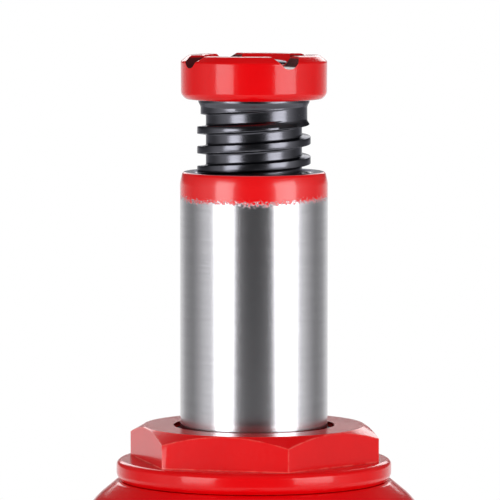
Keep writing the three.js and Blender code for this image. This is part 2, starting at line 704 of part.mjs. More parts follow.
const glandNutBottom = pumpBarrel.top + seat;
const glandNutTop = glandNutBottom + glandNut.height;
const pumpGland = hexHead(glandNut.flats, glandNutBottom, glandNutTop)
  .add(cylinder(glandNut.spigotRadius, glandRecess + seat, glandNutBottom + 1, coarse))
  .subtract(cylinder(plungerBore, 0, 200, coarse))
  .subtract(cylinder(pumpWiper.radius + fit, glandNutTop - pumpWiper.height, 200, coarse));
add(pump, "pump_gland_nut", pumpGland, zinc);
add(pump, "pump_wiper",
  sealRing(plungerBore, pumpWiper.radius, glandNutTop - pumpWiper.height + seat, glandNutTop + 0.5), rubber);

const plungerBottom = pumpSpigot.bottom;
const plungerSeal = {
  radius: plungerRadius - 2,
  bottom: plungerSealBottom,
  split: plungerSealBottom + 2.2,
  top: plungerSealBottom + 4,
};

function pumpPlunger() {
  const flatsFrom = plungerPinZ - plungerEye.shoulder;
  const half = plungerEye.thickness / 2;
  const eye = alongX(cylinder(plungerEye.radius, -half, half, coarse)).translate([0, 0, plungerPinZ]);
  const rod = turned([
    [0, plungerBottom], [plungerRadius - 1, plungerBottom], [plungerRadius, plungerBottom + 1],
    [plungerRadius, plungerSeal.bottom], [plungerSeal.radius, plungerSeal.bottom],
    [plungerSeal.radius, plungerSeal.top], [plungerRadius, plungerSeal.top], [plungerRadius, plungerPinZ],
    [0, plungerPinZ],
  ], coarse);
  return rod
    .subtract(box(half, 20, -20, 20, flatsFrom, 200))
    .subtract(box(-20, -half, -20, 20, flatsFrom, 200))
    .add(eye)
    .subtract(pinHole(0, plungerPinZ, eyeSlack));
}

add(pump, "pump_plunger", pumpPlunger(), groundSteel);
const sealInner = plungerSeal.radius + 0.2;
add(pump, "plunger_seal",
  sealRing(sealInner, plungerRadius, plungerSeal.bottom + seat, plungerSeal.split - seat), urethane);
add(pump, "plunger_backup_ring",
  ring(sealInner, plungerRadius, plungerSeal.split, plungerSeal.top - seat, coarse), nylon);

const ballSeatRise = (r, port) => Math.sqrt(r * r - port * port) + fit;
const intakeBallZ = chamber.bottom + ballSeatRise(intakeBall, intakePort);
add(pump, "intake_ball", ball(intakeBall, 0, 0, intakeBallZ), groundSteel);

const filterY = -(cylinderRadius + reservoirInner) / 2;
const filterRadius = (reservoirInner - cylinderRadius) / 2 - 0.8;
const intakeFilter = turned([
  [filterRadius - 1.2, annulusFloor + seat], [filterRadius, annulusFloor + seat],
  [filterRadius, annulusFloor + 4], [filterRadius - 1.8, annulusFloor + 6], [0, annulusFloor + 6.6],
  [0, annulusFloor + 5.6], [filterRadius - 2.4, annulusFloor + 5], [filterRadius - 1.2, annulusFloor + 3.4],
], coarse);
add(jack, "intake_filter", intakeFilter.translate([0, filterY, 0]), bronze);

// ------------------------------------------------ linkage: link plates, socket, pins and clips

function linkPlateAt(side) {
  const outline = roundBar([fulcrumY, lowerPinZ], [fulcrumY, fulcrumZ], linkPlate.radius, linkPlate.radius);
  const outerX = linkPlate.innerX + linkPlate.thickness;
  const [x0, x1] = side > 0 ? [linkPlate.innerX, outerX] : [-outerX, -linkPlate.innerX];
  return plateX(outline, x0, x1).subtract(pinHole(fulcrumY, lowerPinZ)).subtract(pinHole(fulcrumY, fulcrumZ));
}

add(jack, "link_plate_right", linkPlateAt(1), zinc);
add(jack, "link_plate_left", linkPlateAt(-1), zinc);

function handleSocket() {
  const tubeZ = plungerPinZ + socket.rise;
  const along = (distance) => plungerPinY - distance; // distance out from the plunger's pin
  const tube = (radius, from, to) =>
    alongMinusY(cylinder(radius, -along(from), -along(to), 20)).translate([0, 0, tubeZ]);
  const cheeks = new THREE.Shape();
  cheeks.absarc(plungerPinY, plungerPinZ, cheek.radius, -Math.PI * 0.62, 0, false);
  cheeks.lineTo(along(-16), plungerPinZ + 2);
  cheeks.lineTo(along(-16), plungerPinZ + 15);
  cheeks.lineTo(along(-8), plungerPinZ + 20);
  cheeks.lineTo(along(socket.floor), tubeZ + 12);
  cheeks.lineTo(along(socket.floor), tubeZ - 14);
  cheeks.closePath();
  const arm = roundBar([fulcrumY, fulcrumZ], [along(-8), plungerPinZ + 11], 9, 8);
  let made = plateX(cheeks, -cheek.outerX, cheek.outerX)
    .add(plateX(arm, -lugHalfWidth + 0.1, lugHalfWidth - 0.1))
    .add(tube(socket.bore + socket.wall, socket.backFrom, socket.length));

  // Slot for the plunger's eye and for its stem as the socket swings up
  const reach = cheek.radius + 1.2;
  const slot = alongX(cylinder(reach, -cheek.innerX, cheek.innerX, coarse))
    .translate([0, plungerPinY, plungerPinZ]);
  const stemWay = box(-cheek.innerX, cheek.innerX, -plungerRadius - 2, plungerRadius + 2.5, -40, 0);
  made = made.subtract(slot);
  for (const swing of [0, 0.5, 1]) {
    const leaning = stemWay.rotate([socketSwing * swing, 0, 0]).translate([0, plungerPinY, plungerPinZ]);
    made = made.subtract(leaning);
  }
  return made
    .subtract(tube(socket.bore, socket.floor, socket.length + 50))
    .subtract(pinHole(plungerPinY, plungerPinZ))
    .subtract(pinHole(fulcrumY, fulcrumZ));
}

add(jack, "handle_socket", handleSocket(), redPaint);

// A headed pin along X through pieces that reach to halfSpan on each side, and the clip on its other end.
function headedPin(name, y, z, halfSpan) {
  const head = halfSpan + fit;
  const end = head + clip.thickness + 2;
  const shank = cylinder(pinRadius, -head - 1, end, coarse);
  const made = alongX(shank.add(cylinder(clip.radius, -head - 3, -head, coarse)));
  const clipRing = alongX(ring(pinRadius + seat, clip.radius, head, head + clip.thickness, coarse));
  add(jack, name, made.translate([0, y, z]), zinc);
  add(jack, name + "_clip", clipRing.translate([0, y, z]), blackOxide);
}

const linkSpan = linkPlate.innerX + linkPlate.thickness;
headedPin("link_base_pin", fulcrumY, lowerPinZ, linkSpan);
headedPin("fulcrum_pin", fulcrumY, fulcrumZ, linkSpan);
headedPin("plunger_pin", plungerPinY, plungerPinZ, cheek.outerX);

// ------------------------------------------------ valves in the base

const glandInner = valveMouth - releaseStem.glandDepth + seat;
const gland = hexHead(releaseGland.flats, valveMouth + seat, valveMouth + releaseGland.height)
  .add(cylinder(releaseGland.spigotRadius, glandInner, valveMouth + 1, coarse))
  .subtract(cylinder(releaseStem.radius + fit, 0, 200, coarse));
add(jack, "release_gland_nut", placeFrontValve(gland, releaseValve), zinc);

const oringZ = valveMouth - releaseStem.sealDepth;
const ballReach = (valve) => seatOf(valve) + ballSeatRise(valve.ball, valve.port) + valve.ball + seat;
function releaseValveStem() {
  const { radius, headRadius } = releaseStem;
  const tip = ballReach(releaseValve);
  const head = valveMouth + releaseStem.headOut;
  const end = head + releaseStem.headLength;
  const bladeFrom = head + 3;
  const made = turned([
    [0, tip], [2, tip], [radius, tip + 3], [radius, oringZ - 1.6], [radius - 1.4, oringZ - 1.6],
    [radius - 1.4, oringZ + 1.6], [radius, oringZ + 1.6], [radius, head], [headRadius - 1, head],
    [headRadius, head + 1], [headRadius, end - 1], [headRadius - 1, end], [0, end],
  ], coarse);
  return made
    .subtract(box(4, 20, -20, 20, bladeFrom, 200))
    .subtract(box(-20, -4, -20, 20, bladeFrom, 200));
}

add(jack, "release_valve_stem", placeFrontValve(releaseValveStem(), releaseValve), blackOxide);
const stemOring = sealRing(releaseStem.radius - 1.2, releaseValve.bore - fit, oringZ - 1.5, oringZ + 1.5);
add(jack, "release_stem_oring", placeFrontValve(stemOring, releaseValve), rubber);
const frontBall = (valve) => ball(valve.ball, valve.x, valve.ball + seat - ballReach(valve), valve.z);
add(jack, "release_ball", frontBall(releaseValve), groundSteel);
add(jack, "delivery_ball", frontBall(deliveryValve), groundSteel);

const deliveryPlugIn = valveMouth - deliveryPlug.spigotLength;
const plugOf = ({ flats, height, spigotRadius }, spigotFrom, face) =>
  hexHead(flats, face + seat, face + height)
    .add(cylinder(spigotRadius, spigotFrom, face + 1, coarse));
add(jack, "delivery_plug",
  placeFrontValve(plugOf(deliveryPlug, deliveryPlugIn, valveMouth), deliveryValve), zinc);
const deliverySpring = coilSpring(3.2, springWire, ballReach(deliveryValve), deliveryPlugIn - seat, 5);
add(jack, "delivery_spring", placeFrontValve(deliverySpring, deliveryValve), steel);

const reliefPlugIn = footHalfWidth - reliefPlug.spigotLength;
const reliefScrewTop = reliefPlugIn - 0.8;
const reliefScrewIn = reliefScrewTop - reliefScrewLength;
const reliefBallAt = footHalfWidth - reliefValve.depth + ballSeatRise(reliefValve.ball, reliefValve.port);
add(jack, "relief_plug", placeRelief(plugOf(reliefPlug, reliefPlugIn, footHalfWidth)), zinc);
const reliefScrew = cylinder(reliefPlug.spigotRadius, reliefScrewIn, reliefScrewTop, coarse)
  .subtract(box(-0.8, 0.8, -20, 20, reliefScrewTop - 1.5, 200));
add(jack, "relief_adjusting_screw", placeRelief(reliefScrew), steel);
const reliefSpringIn = reliefBallAt + reliefValve.ball + seat;
const reliefSpring = coilSpring(2.8, springWire, reliefSpringIn, reliefScrewIn - seat, 4);
add(jack, "relief_spring", placeRelief(reliefSpring), steel);
add(jack, "relief_ball", ball(reliefValve.ball, -reliefBallAt, reliefValve.y, reliefValve.z), groundSteel);

// ------------------------------------------------ filler plug and carrying handle

const fillerFace = reservoirRadius + seat;
const fillerPlug = turned([
  [0, fillerFace - filler.stemLength], [filler.stem - 1, fillerFace - filler.stemLength],
  [filler.stem, fillerFace - filler.stemLength + 1.5], [filler.stem, fillerFace], [filler.head, fillerFace],
  [filler.head, fillerFace + filler.headHeight - 1], [filler.head - 1.5, fillerFace + filler.headHeight],
  [0, fillerFace + filler.headHeight],
], coarse);
add(jack, "filler_plug", fillerPlug.rotate([0, -90, 0]).translate([0, 0, fillerZ]), rubber);

function bailEar(side) {
  const root = Math.sqrt(reservoirRadius ** 2 - ear.outerX ** 2) - 4;
  const outline = roundBar([bailPivotY, bailZ], [root, bailZ], ear.radius, ear.radius + 1);
  const [x0, x1] = side > 0 ? [ear.innerX, ear.outerX] : [-ear.outerX, -ear.innerX];
  const hole = alongX(cylinder(ear.hole, -60, 60, coarse)).translate([0, bailPivotY, bailZ]);
  return plateX(outline, x0, x1).subtract(hole).subtract(cylinder(reservoirRadius + fit, 0, 300));
}

add(jack, "bail_ear_right", bailEar(1), redPaint);
add(jack, "bail_ear_left", bailEar(-1), redPaint);

// The bail is one bent wire: in through an ear, down, across at the bottom, up and in through the other.
function bailWire() {
  const { armX, drop, corner, endX } = bail;
  const route = new THREE.CurvePath();
  const turns = [[endX, 0], [armX, 0], [armX, -drop], [-armX, -drop], [-armX, 0], [-endX, 0]]
    .map(([x, z]) => new THREE.Vector3(x, 0, z));
  let from = turns[0];
  for (let i = 1; i < turns.length - 1; i++) {
    const r = i === 1 || i === turns.length - 2 ? 6 : corner;
    const into = turns[i].clone().lerp(turns[i - 1], r / turns[i].distanceTo(turns[i - 1]));
    const out = turns[i].clone().lerp(turns[i + 1], r / turns[i].distanceTo(turns[i + 1]));
    route.add(new THREE.LineCurve3(from, into));
    route.add(new THREE.QuadraticBezierCurve3(into, turns[i], out));
    from = out;
  }
  route.add(new THREE.LineCurve3(from, turns[turns.length - 1]));
  const section = new THREE.Shape().absarc(0, 0, bail.wire, 0, 2 * Math.PI, false);
  const options = { steps: 48, extrudePath: route, curveSegments: 4 };
  return solid(new THREE.ExtrudeGeometry(section, options)).translate([0, bailPivotY, bailZ]);
}

add(jack, "carrying_bail", bailWire(), blackOxide);
const gripSleeve = alongX(ring(bail.wire + fit, grip.radius, -grip.halfLength, grip.halfLength, coarse));
add(jack, "bail_grip", gripSleeve.translate([0, bailPivotY, bailZ - bail.drop]), rubber);

export default jack;
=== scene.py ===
# %% [markdown]
# # A hydraulic bottle jack, dressed for a studio picture
#
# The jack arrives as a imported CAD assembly: plain, exact, and made of flat facets.
# Here each part that shows is made again as a fine mesh, in the same place, and gets its finish.
# Parts that are hidden inside keep their CAD mesh and only get a material.

# %% Load the assembly that everything is built around
import json
import math

import bmesh
import bpy
from mathutils import Matrix, Vector


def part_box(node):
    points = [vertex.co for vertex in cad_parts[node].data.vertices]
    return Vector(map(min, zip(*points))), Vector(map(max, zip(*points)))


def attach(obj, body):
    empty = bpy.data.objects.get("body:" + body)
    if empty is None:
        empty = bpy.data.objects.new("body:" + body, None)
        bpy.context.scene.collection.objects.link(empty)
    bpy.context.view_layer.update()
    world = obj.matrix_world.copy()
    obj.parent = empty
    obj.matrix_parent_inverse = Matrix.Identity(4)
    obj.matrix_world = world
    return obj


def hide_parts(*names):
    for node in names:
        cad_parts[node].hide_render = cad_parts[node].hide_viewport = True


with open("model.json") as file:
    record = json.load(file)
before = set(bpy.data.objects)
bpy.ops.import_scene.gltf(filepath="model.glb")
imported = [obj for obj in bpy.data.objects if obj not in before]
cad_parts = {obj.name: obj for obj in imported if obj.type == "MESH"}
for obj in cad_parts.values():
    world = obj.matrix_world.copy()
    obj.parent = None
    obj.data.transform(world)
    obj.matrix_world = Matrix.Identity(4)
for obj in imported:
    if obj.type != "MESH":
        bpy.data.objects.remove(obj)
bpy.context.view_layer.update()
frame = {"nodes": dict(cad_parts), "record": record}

# %% [markdown]
# ## Working units
#
# A jack is drawn in millimetres, and Blender's frame is in metres.
# Every shape below is written in millimetres and scaled once, when its mesh is finished.
# Heights and centres are read from the CAD parts, so a piece lands where its part stands.

# %% Millimetres, and where a CAD part reaches
MM = 0.001
TURN = 2 * math.pi


def reach(node):
    """The lowest and highest corner of a CAD part, in millimetres."""
    low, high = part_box(node)
    return low / MM, high / MM


def middle(node):
    """The middle of a CAD part's box, in millimetres."""
    low, high = reach(node)
    return (low + high) / 2


print("ram box", [round(v, 2) for corner in reach("ram") for v in corner])

# %% [markdown]
# ## Turned shapes
#
# Most of a jack is lathe work, so the main tool here is a lathe: a profile of radii and heights is
# swept round an axis. A sharp profile looks like a drawing, because no real corner is perfectly
# sharp. Each corner of the profile is eased first, with a small curve that catches the light.
# The mesh could also come from the Spin operator or a Screw modifier. Writing the rings directly
# keeps the joints clean, and lets a profile close on the axis in a single point.

# %% Ease the corners of a profile or an outline
def ease_corner(back, here, on, own, steps):
    """The points of a short curve that replaces one corner."""
    own = min(own, 0.45 * (back - here).length, 0.45 * (on - here).length)
    start = here + (back - here).normalized() * own
    end = here + (on - here).normalized() * own
    made = []
    for k in range(steps + 1):
        t = k / steps
        p = start * (1 - t) ** 2 + here * 2 * t * (1 - t) + end * t**2
        made.append((p.x, p.y))
    return made


def eased(profile, ease=0.4, steps=3):
    """Rounds the corners of closed (radius, height) points. A third value is a point's own ease."""
    made = []
    count = len(profile)
    for i, point in enumerate(profile):
        here = Vector(point[:2])
        own = point[2] if len(point) > 2 else ease
        if own <= 0 or here.x == 0:
            made.append((here.x, here.y))
            continue
        back = Vector(profile[i - 1][:2])
        on = Vector(profile[(i + 1) % count][:2])
        made.extend(ease_corner(back, here, on, own, steps))
    return made


print("a square corner becomes", len(eased([(0, 0), (5, 0), (5, 5), (0, 5)])), "points")


# %% The lathe
ON_AXIS = 1e-6


def ring_of(shape, radius, height, sides, start=0.0):
    """A ring of points about the axis. On the axis it is one point, counted once for every side."""
    if radius < ON_AXIS:
        return [shape.verts.new((0, 0, height))] * sides
    angles = [start + TURN * k / sides for k in range(sides)]
    return [shape.verts.new((radius * math.cos(a), radius * math.sin(a), height)) for a in angles]


def skin_between(shape, low, high):
    """Faces from one ring of points to the next: four-sided, or three-sided at a tip."""
    count = len(low)
    for k in range(count):
        around = [low[k], low[(k + 1) % count], high[(k + 1) % count], high[k]]
        corners = list(dict.fromkeys(around))
        if len(corners) > 2:
            shape.faces.new(corners)


def turned(profile, sides=96, start=0.0):
    """A bmesh in millimetres: the profile swept round Z. It closes on the axis, or on itself."""
    made = bmesh.new()
    rings = [ring_of(made, radius, height, sides, start) for radius, height in profile]
    for low, high in zip(rings, rings[1:]):
        skin_between(made, low, high)
    if profile[0][0] >= ON_AXIS or profile[-1][0] >= ON_AXIS:
        skin_between(made, rings[-1], rings[0])
    bmesh.ops.recalc_face_normals(made, faces=made.faces)
    return made


# %% Turn a bmesh into an object
SHARP = math.radians(38)


def as_object(name, shape, place=None):
    """Moves a bmesh into place, scales it to metres, and shades it smooth up to its sharp edges."""
    if place is not None:
        shape.transform(place)
    shape.transform(Matrix.Scale(MM, 4))
    mesh = bpy.data.meshes.new(name)
    shape.to_mesh(mesh)
    shape.free()
    mesh.shade_smooth()
    mesh.set_sharp_from_angle(angle=SHARP)
    made = bpy.data.objects.new(name, mesh)
    bpy.context.scene.collection.objects.link(made)
    return made


def axis_to(direction, x=0.0, y=0.0, z=0.0):
    """A placing matrix: lathe work about Z is laid along a direction, with its zero at a point."""
    lay = Vector((0, 0, 1)).rotation_difference(Vector(direction)).to_matrix().to_4x4()
    return Matrix.Translation((x, y, z)) @ lay


def lathed(name, profile, sides, place=None, ease=0.4, steps=3):
    """An object from the lathe, with the corners of its profile eased."""
    return as_object(name, turned(eased(profile, ease, steps), sides), place)


ALONG_X = (1, 0, 0)
IN_SIDE_PLANE = Matrix(((0, 0, 1, 0), (1, 0, 0, 0), (0, 1, 0, 0), (0, 0, 0, 1)))
ALONG_FRONT = (0, -1, 0)
LEFTWARD = (-1, 0, 0)
print("lathe and placing are ready")

# %% [markdown]
# ## Cutting and easing solid shapes
#
# Hexagons, slots and cross holes are made as in the workshop: a blank, then a cutter.
# Blender's Boolean modifier does the cut. Its result is settled into the mesh at once, so that
# later steps start from plain geometry. Bevel then breaks the new edges, and Weighted Normal
# keeps the flat faces flat while the narrow bevels turn the light.


# %% Settle modifiers, cut, join and ease
def settle(piece):
    """Makes a piece's modifiers part of its mesh."""
    bpy.context.view_layer.update()
    graph = bpy.context.evaluated_depsgraph_get()
    made = bpy.data.meshes.new_from_object(piece.evaluated_get(graph))
    piece.modifiers.clear()
    piece.data = made
    return piece


def combine(piece, tools, operation):
    """Cuts, joins or intersects a piece with tools, one after another, and throws the tools away."""
    for tool in tools:
        step = piece.modifiers.new("cut", "BOOLEAN")
        step.operation = operation
        step.solver = "EXACT"
        step.object = tool
        settle(piece)
        bpy.data.objects.remove(tool)
    return piece


def cut(piece, *tools):
    return combine(piece, tools, "DIFFERENCE")


def join(piece, *tools):
    return combine(piece, tools, "UNION")


def keep_common(piece, *tools):
    return combine(piece, tools, "INTERSECT")


def break_edges(piece, width, steps=2, angle=30):
    """Bevels every edge sharper than an angle, and settles the shading normals."""
    bevel = piece.modifiers.new("broken edges", "BEVEL")
    bevel.width = width * MM
    bevel.segments = steps
    bevel.limit_method = "ANGLE"
    bevel.angle_limit = math.radians(angle)
    bevel.miter_outer = "MITER_ARC"
    settle(piece)
    piece.data.shade_smooth()
    piece.data.set_sharp_from_angle(angle=SHARP)
    even = piece.modifiers.new("flat faces stay flat", "WEIGHTED_NORMAL")
    even.keep_sharp = True
    return settle(piece)


def block(name, low, high):
    """A plain block between two corners, used as a blank or a cutter."""
    shape = bmesh.new()
    bmesh.ops.create_cube(shape, size=1)
    size = Vector(high) - Vector(low)
    shape.transform(Matrix.Translation((Vector(high) + Vector(low)) / 2) @ Matrix.Diagonal((*size, 1)))
    return as_object(name, shape)


def rod(name, radius, start, end, direction=(0, 0, 1), x=0.0, y=0.0, z=0.0, sides=64):
    """A plain round bar along a direction, used as a blank or a cutter."""
    shape = turned([(0, start), (radius, start), (radius, end), (0, end)], sides)
    return as_object(name, shape, axis_to(direction, x, y, z))


def extruded(name, outline, low, high, place=None):
    """A flat outline, given as (x, y) points, made solid between two heights."""
    shape = bmesh.new()
    bottom = [shape.verts.new((x, y, low)) for x, y in outline]
    top = [shape.verts.new((x, y, high)) for x, y in outline]
    shape.faces.new(list(reversed(bottom)))
    shape.faces.new(top)
    skin_between(shape, bottom, top)
    bmesh.ops.recalc_face_normals(shape, faces=shape.faces)
    return as_object(name, shape, place)


print("cutting tools are ready")

# %% [markdown]
# ## Finishes: the shared effects
#
# A finish is a base colour plus small faults: grinding marks, ripples in the enamel, thin paint on
# edges. Several materials need the same fault, so each fault is one shader node group.
# A group only gives masks and heights; the material decides what they do.
# All of them work from Object coordinates, so no UV map is needed and nothing slides in a pose.


# %% Small helpers that put nodes in a tree
def feed(tree, socket, value):
    """Links a socket to another node's output, or sets its own value."""
    if isinstance(value, bpy.types.NodeSocket):
        tree.links.new(value, socket)
    else:
        socket.default_value = value


def put(tree, kind, *ordered, settings=None, **named):
    """Adds a node. Its inputs are given in order or by name, as a value or as a socket."""
    node = tree.nodes.new("ShaderNode" + kind)
    for key, value in (settings or {}).items():
        setattr(node, key, value)
    for socket, value in zip(node.inputs, ordered):
        feed(tree, socket, value)
    for key, value in named.items():
        feed(tree, node.inputs[key.replace("_", " ")], value)
    return node


def maths(tree, operation, *values):
    return put(tree, "Math", *values, settings={"operation": operation}).outputs[0]


def vectors(tree, operation, *values):
    node = put(tree, "VectorMath", *values, settings={"operation": operation})
    return node.outputs["Value" if operation in ("DOT_PRODUCT", "LENGTH") else "Vector"]


def scaled(tree, vector, factor):
    node = put(tree, "VectorMath", vector, settings={"operation": "SCALE"})
    feed(tree, node.inputs["Scale"], factor)
    return node.outputs["Vector"]


def ramp(tree, value, low, high, start=0.0, end=1.0, smooth=False):
    """Maps a range of values to another range, and holds it at the ends."""
    kind = "SMOOTHSTEP" if smooth else "LINEAR"
    node = put(tree, "MapRange", value, low, high, start, end, settings={"interpolation_type": kind})
    return node.outputs[0]


def noise(tree, place, scale, detail=3.0, roughness=0.5):
    node = put(tree, "TexNoise", Vector=place, Scale=scale, Detail=detail, Roughness=roughness)
    return node.outputs[0]


def blend_colours(tree, factor, first, second):
    node = put(tree, "Mix", settings={"data_type": "RGBA"})
    for index, value in ((0, factor), (6, first), (7, second)):
        feed(tree, node.inputs[index], value)
    return node.outputs[2]


# %% A helper that starts a node group with named sockets
def start_group(name, inputs, outputs):
    """Makes an empty shader node group. Inputs are (name, usual value); outputs are names."""
    group = bpy.data.node_groups.new(name, "ShaderNodeTree")
    for label, usual in inputs:
        kind = "NodeSocketVector" if isinstance(usual, tuple) else "NodeSocketFloat"
        socket = group.interface.new_socket(label, in_out="INPUT", socket_type=kind)
        socket.default_value = usual
    for label in outputs:
        group.interface.new_socket(label, in_out="OUTPUT", socket_type="NodeSocketFloat")
    given = group.nodes.new("NodeGroupInput")
    wanted = group.nodes.new("NodeGroupOutput")
    return group, given.outputs, wanted.inputs


def own_place(tree):
    return put(tree, "TexCoord").outputs["Object"]


# %% [markdown]
# ### Tool marks
#
# A lathe or a grinder leaves fine rings about the axis of the work. On the side of a bar they are
# circles at one height; on an end face they are circles at one radius. So the pattern is a noise
# of height along the axis and distance from it, with only a slow change round the work.

# %% Group: tool marks about an axis
marks_group, given, wanted = start_group(
    "tool_marks",
    [
        ("Centre", (0.0, 0.0, 0.0)),
        ("Axis", (0.0, 0.0, 1.0)),
        ("Marks per metre", 4000.0),
        ("Drift", 3.0),
    ],
    ["Streak", "Patch"],
)
from_centre = vectors(marks_group, "SUBTRACT", own_place(marks_group), given["Centre"])
along = vectors(marks_group, "DOT_PRODUCT", from_centre, given["Axis"])
on_axis = scaled(marks_group, given["Axis"], along)
outward = vectors(marks_group, "SUBTRACT", from_centre, on_axis)
distance = vectors(marks_group, "LENGTH", outward)
bearing = scaled(marks_group, vectors(marks_group, "NORMALIZE", outward), given["Drift"])
fine = put(
    marks_group,
    "CombineXYZ",
    maths(marks_group, "MULTIPLY", along, given["Marks per metre"]),
    maths(marks_group, "MULTIPLY", distance, given["Marks per metre"]),
    0.0,
).outputs[0]
fine_place = vectors(marks_group, "ADD", fine, bearing)
streak = noise(marks_group, fine_place, 1.0, 4.0, 0.7)
feed(marks_group, wanted["Streak"], streak)
patch = noise(marks_group, scaled(marks_group, fine_place, 0.06), 1.0, 2.0)
feed(marks_group, wanted["Patch"], patch)
print("group:", marks_group.name)

# %% [markdown]
# ### Thin paint, rubbed metal and painted highlights on edges
#
# Enamel draws back from a sharp corner while it is wet, and handling rubs the same corners.
# On the enamel, the paler edge this gives is also a painted highlight.
# The Bevel node gives the normal that the surface would have if its edges were rounded. Where
# it differs from the true normal there is an edge, and a noise breaks the line up.

# %% Group: worn edges, and painted highlights on enamel edges
edge_wear_and_highlight_group, given, wanted = start_group(
    "worn_and_highlit_edges", [("Reach", 0.0008), ("Patchiness", 260.0), ("Amount", 0.5)], ["Mask"]
)
rounded = put(edge_wear_and_highlight_group, "Bevel", settings={"samples": 6}, Radius=given["Reach"]).outputs[0]
plain = put(edge_wear_and_highlight_group, "NewGeometry").outputs["Normal"]
alike = vectors(edge_wear_and_highlight_group, "DOT_PRODUCT", rounded, plain)
edge = ramp(edge_wear_and_highlight_group, alike, 0.997, 0.93)
broken = noise(edge_wear_and_highlight_group, own_place(edge_wear_and_highlight_group), given["Patchiness"], 4.0, 0.65)
limit = maths(edge_wear_and_highlight_group, "SUBTRACT", 1.0, given["Amount"])
worn = maths(edge_wear_and_highlight_group, "MULTIPLY", edge, ramp(edge_wear_and_highlight_group, broken, limit, 1.0))
strengthened = maths(edge_wear_and_highlight_group, "MULTIPLY", worn, 3.0)
feed(edge_wear_and_highlight_group, wanted["Mask"], maths(edge_wear_and_highlight_group, "MINIMUM", strengthened, 1.0))
print("group:", edge_wear_and_highlight_group.name)

# %% [markdown]
# ### Ripples and grain
#
# Sprayed enamel dries with a faint orange-peel ripple a millimetre or two across. Cast iron under
# the same enamel adds the grain of the sand mould, which is coarser and has pits.

# %% Group: enamel ripple over cast grain
ripple_group, given, wanted = start_group(
    "ripple_and_grain", [("Ripple", 0.5), ("Grain", 0.0), ("Waves per metre", 700.0)], ["Height", "Tone"]
)
place = own_place(ripple_group)
soft = noise(ripple_group, place, given["Waves per metre"], 1.0, 0.4)
slow = noise(ripple_group, place, 60.0, 3.0, 0.5)
sand = noise(ripple_group, place, 900.0, 5.0, 0.65)
pits = put(ripple_group, "TexVoronoi", Vector=place, Scale=420.0).outputs["Distance"]
sand = maths(ripple_group, "ADD", sand, maths(ripple_group, "MULTIPLY", pits, 0.6))
lift = maths(ripple_group, "MULTIPLY", soft, given["Ripple"])
coarse = maths(ripple_group, "MULTIPLY", sand, given["Grain"])
feed(ripple_group, wanted["Height"], maths(ripple_group, "ADD", lift, coarse))
feed(ripple_group, wanted["Tone"], slow)
print("group:", ripple_group.name)


# %% Start a material, and place a group in it
def start_material(name, **constants):
    """A material with one Principled shader. Values that never change go straight on its sockets."""
    material = bpy.data.materials.new(name)
    material.use_nodes = True
    tree = material.node_tree
    shader = tree.nodes["Principled BSDF"]
    for key, value in constants.items():
        shader.inputs[key.replace("_", " ")].default_value = value
    return material, tree, shader.inputs


def effect(tree, group, **values):
    """Places a shared group in a material, with the material's own values."""
    node = tree.nodes.new("ShaderNodeGroup")
    node.node_tree = group
    for key, value in values.items():
        feed(tree, node.inputs[key.replace("_", " ")], value)
    return node.outputs


def bumped(tree, height, depth, strength=1.0, under=None):
    """A Bump node: height is 0 to 1, and depth is its size in metres."""
    node = put(tree, "Bump", Height=height, Distance=depth, Strength=strength)
    if under is not None:
        feed(tree, node.inputs["Normal"], under)
    return node.outputs[0]


# %% [markdown]
# ## Red enamel
#
# The jack is sprayed bright red: a saturated coat, glossy, with a clear reflection on top of a
# softer one. Base colour carries the red, and Coat gives the second, sharper gloss. The red is a
# little deeper where the spray lies thick, and paler along edges where it has drawn back; this
# paler edge is also a painted highlight along each edge.

# %% Red enamel, smooth or over a casting
ENAMEL_RED = (0.80, 0.0, 0.002, 1.0)
ENAMEL_DEEP = (0.72, 0.0, 0.002, 1.0)
# Pale red for edges: thin paint, and also a painted highlight along each edge.
ENAMEL_THIN_AND_HIGHLIGHT = (0.95, 0.20, 0.16, 1.0)
# Dark red painted as shade on the walls of the saddle's notches.
ENAMEL_NOTCH_SHADE = (0.09, 0.006, 0.008, 1.0)
THIN_AND_HIGHLIGHT_SHARE = 0.55
SKIN_DEPTH = 0.00035


def red_enamel(name, ripple, grain, wear, waves=700.0, painted_shade=None):
    """The last argument is a function that makes the mask of the places painted darker as shade, in the
    material's tree.
    """
    gloss = {"Coat_Weight": 0.42, "Coat_Roughness": 0.10, "Specular_IOR_Level": 0.18}
    material, tree, shader = start_material(name, **gloss)
    surface = effect(tree, ripple_group, Ripple=ripple, Grain=grain, Waves_per_metre=waves)
    worn = effect(tree, edge_wear_and_highlight_group, Amount=wear)
    tone = blend_colours(tree, ramp(tree, surface["Tone"], 0.3, 0.75), ENAMEL_DEEP, ENAMEL_RED)
    # Edges are painted paler: partly thin paint, partly a painted highlight.
    thin_and_highlight = maths(tree, "MULTIPLY", worn["Mask"], THIN_AND_HIGHLIGHT_SHARE)
    colour = blend_colours(tree, thin_and_highlight, tone, ENAMEL_THIN_AND_HIGHLIGHT)
    # Painted shade: where the given mask is 1, the base colour turns dark.
    if painted_shade:
        colour = blend_colours(tree, painted_shade(tree), colour, ENAMEL_NOTCH_SHADE)
    feed(tree, shader["Base Color"], colour)
    feed(tree, shader["Roughness"], ramp(tree, surface["Tone"], 0.2, 0.8, 0.20, 0.26))
    feed(tree, shader["Normal"], bumped(tree, surface["Height"], SKIN_DEPTH))
    return material


enamel = red_enamel("red_enamel_smooth", 0.12, 0.0, 0.42)
# Stronger pale edges for the top nut's hexagon: thin paint and a painted highlight.
enamel_worn_and_highlit = red_enamel("red_enamel_worn_and_highlit_edges", 0.12, 0.0, 0.64)
enamel_cast = red_enamel("red_enamel_on_casting", 0.25, 0.42, 0.35, 520.0)
print("red enamel:", enamel.name, enamel_worn_and_highlit.name, enamel_cast.name)


# %% [markdown]
# ## Bare and plated metals
#
# Ground, turned, plated and blackened parts share one recipe and differ in numbers: the metal's
# colour, how rough the marks leave it, and how strong the marks are. The marks turn round the
# part's own axis, so each family of parts gets a copy with its axis and centre.

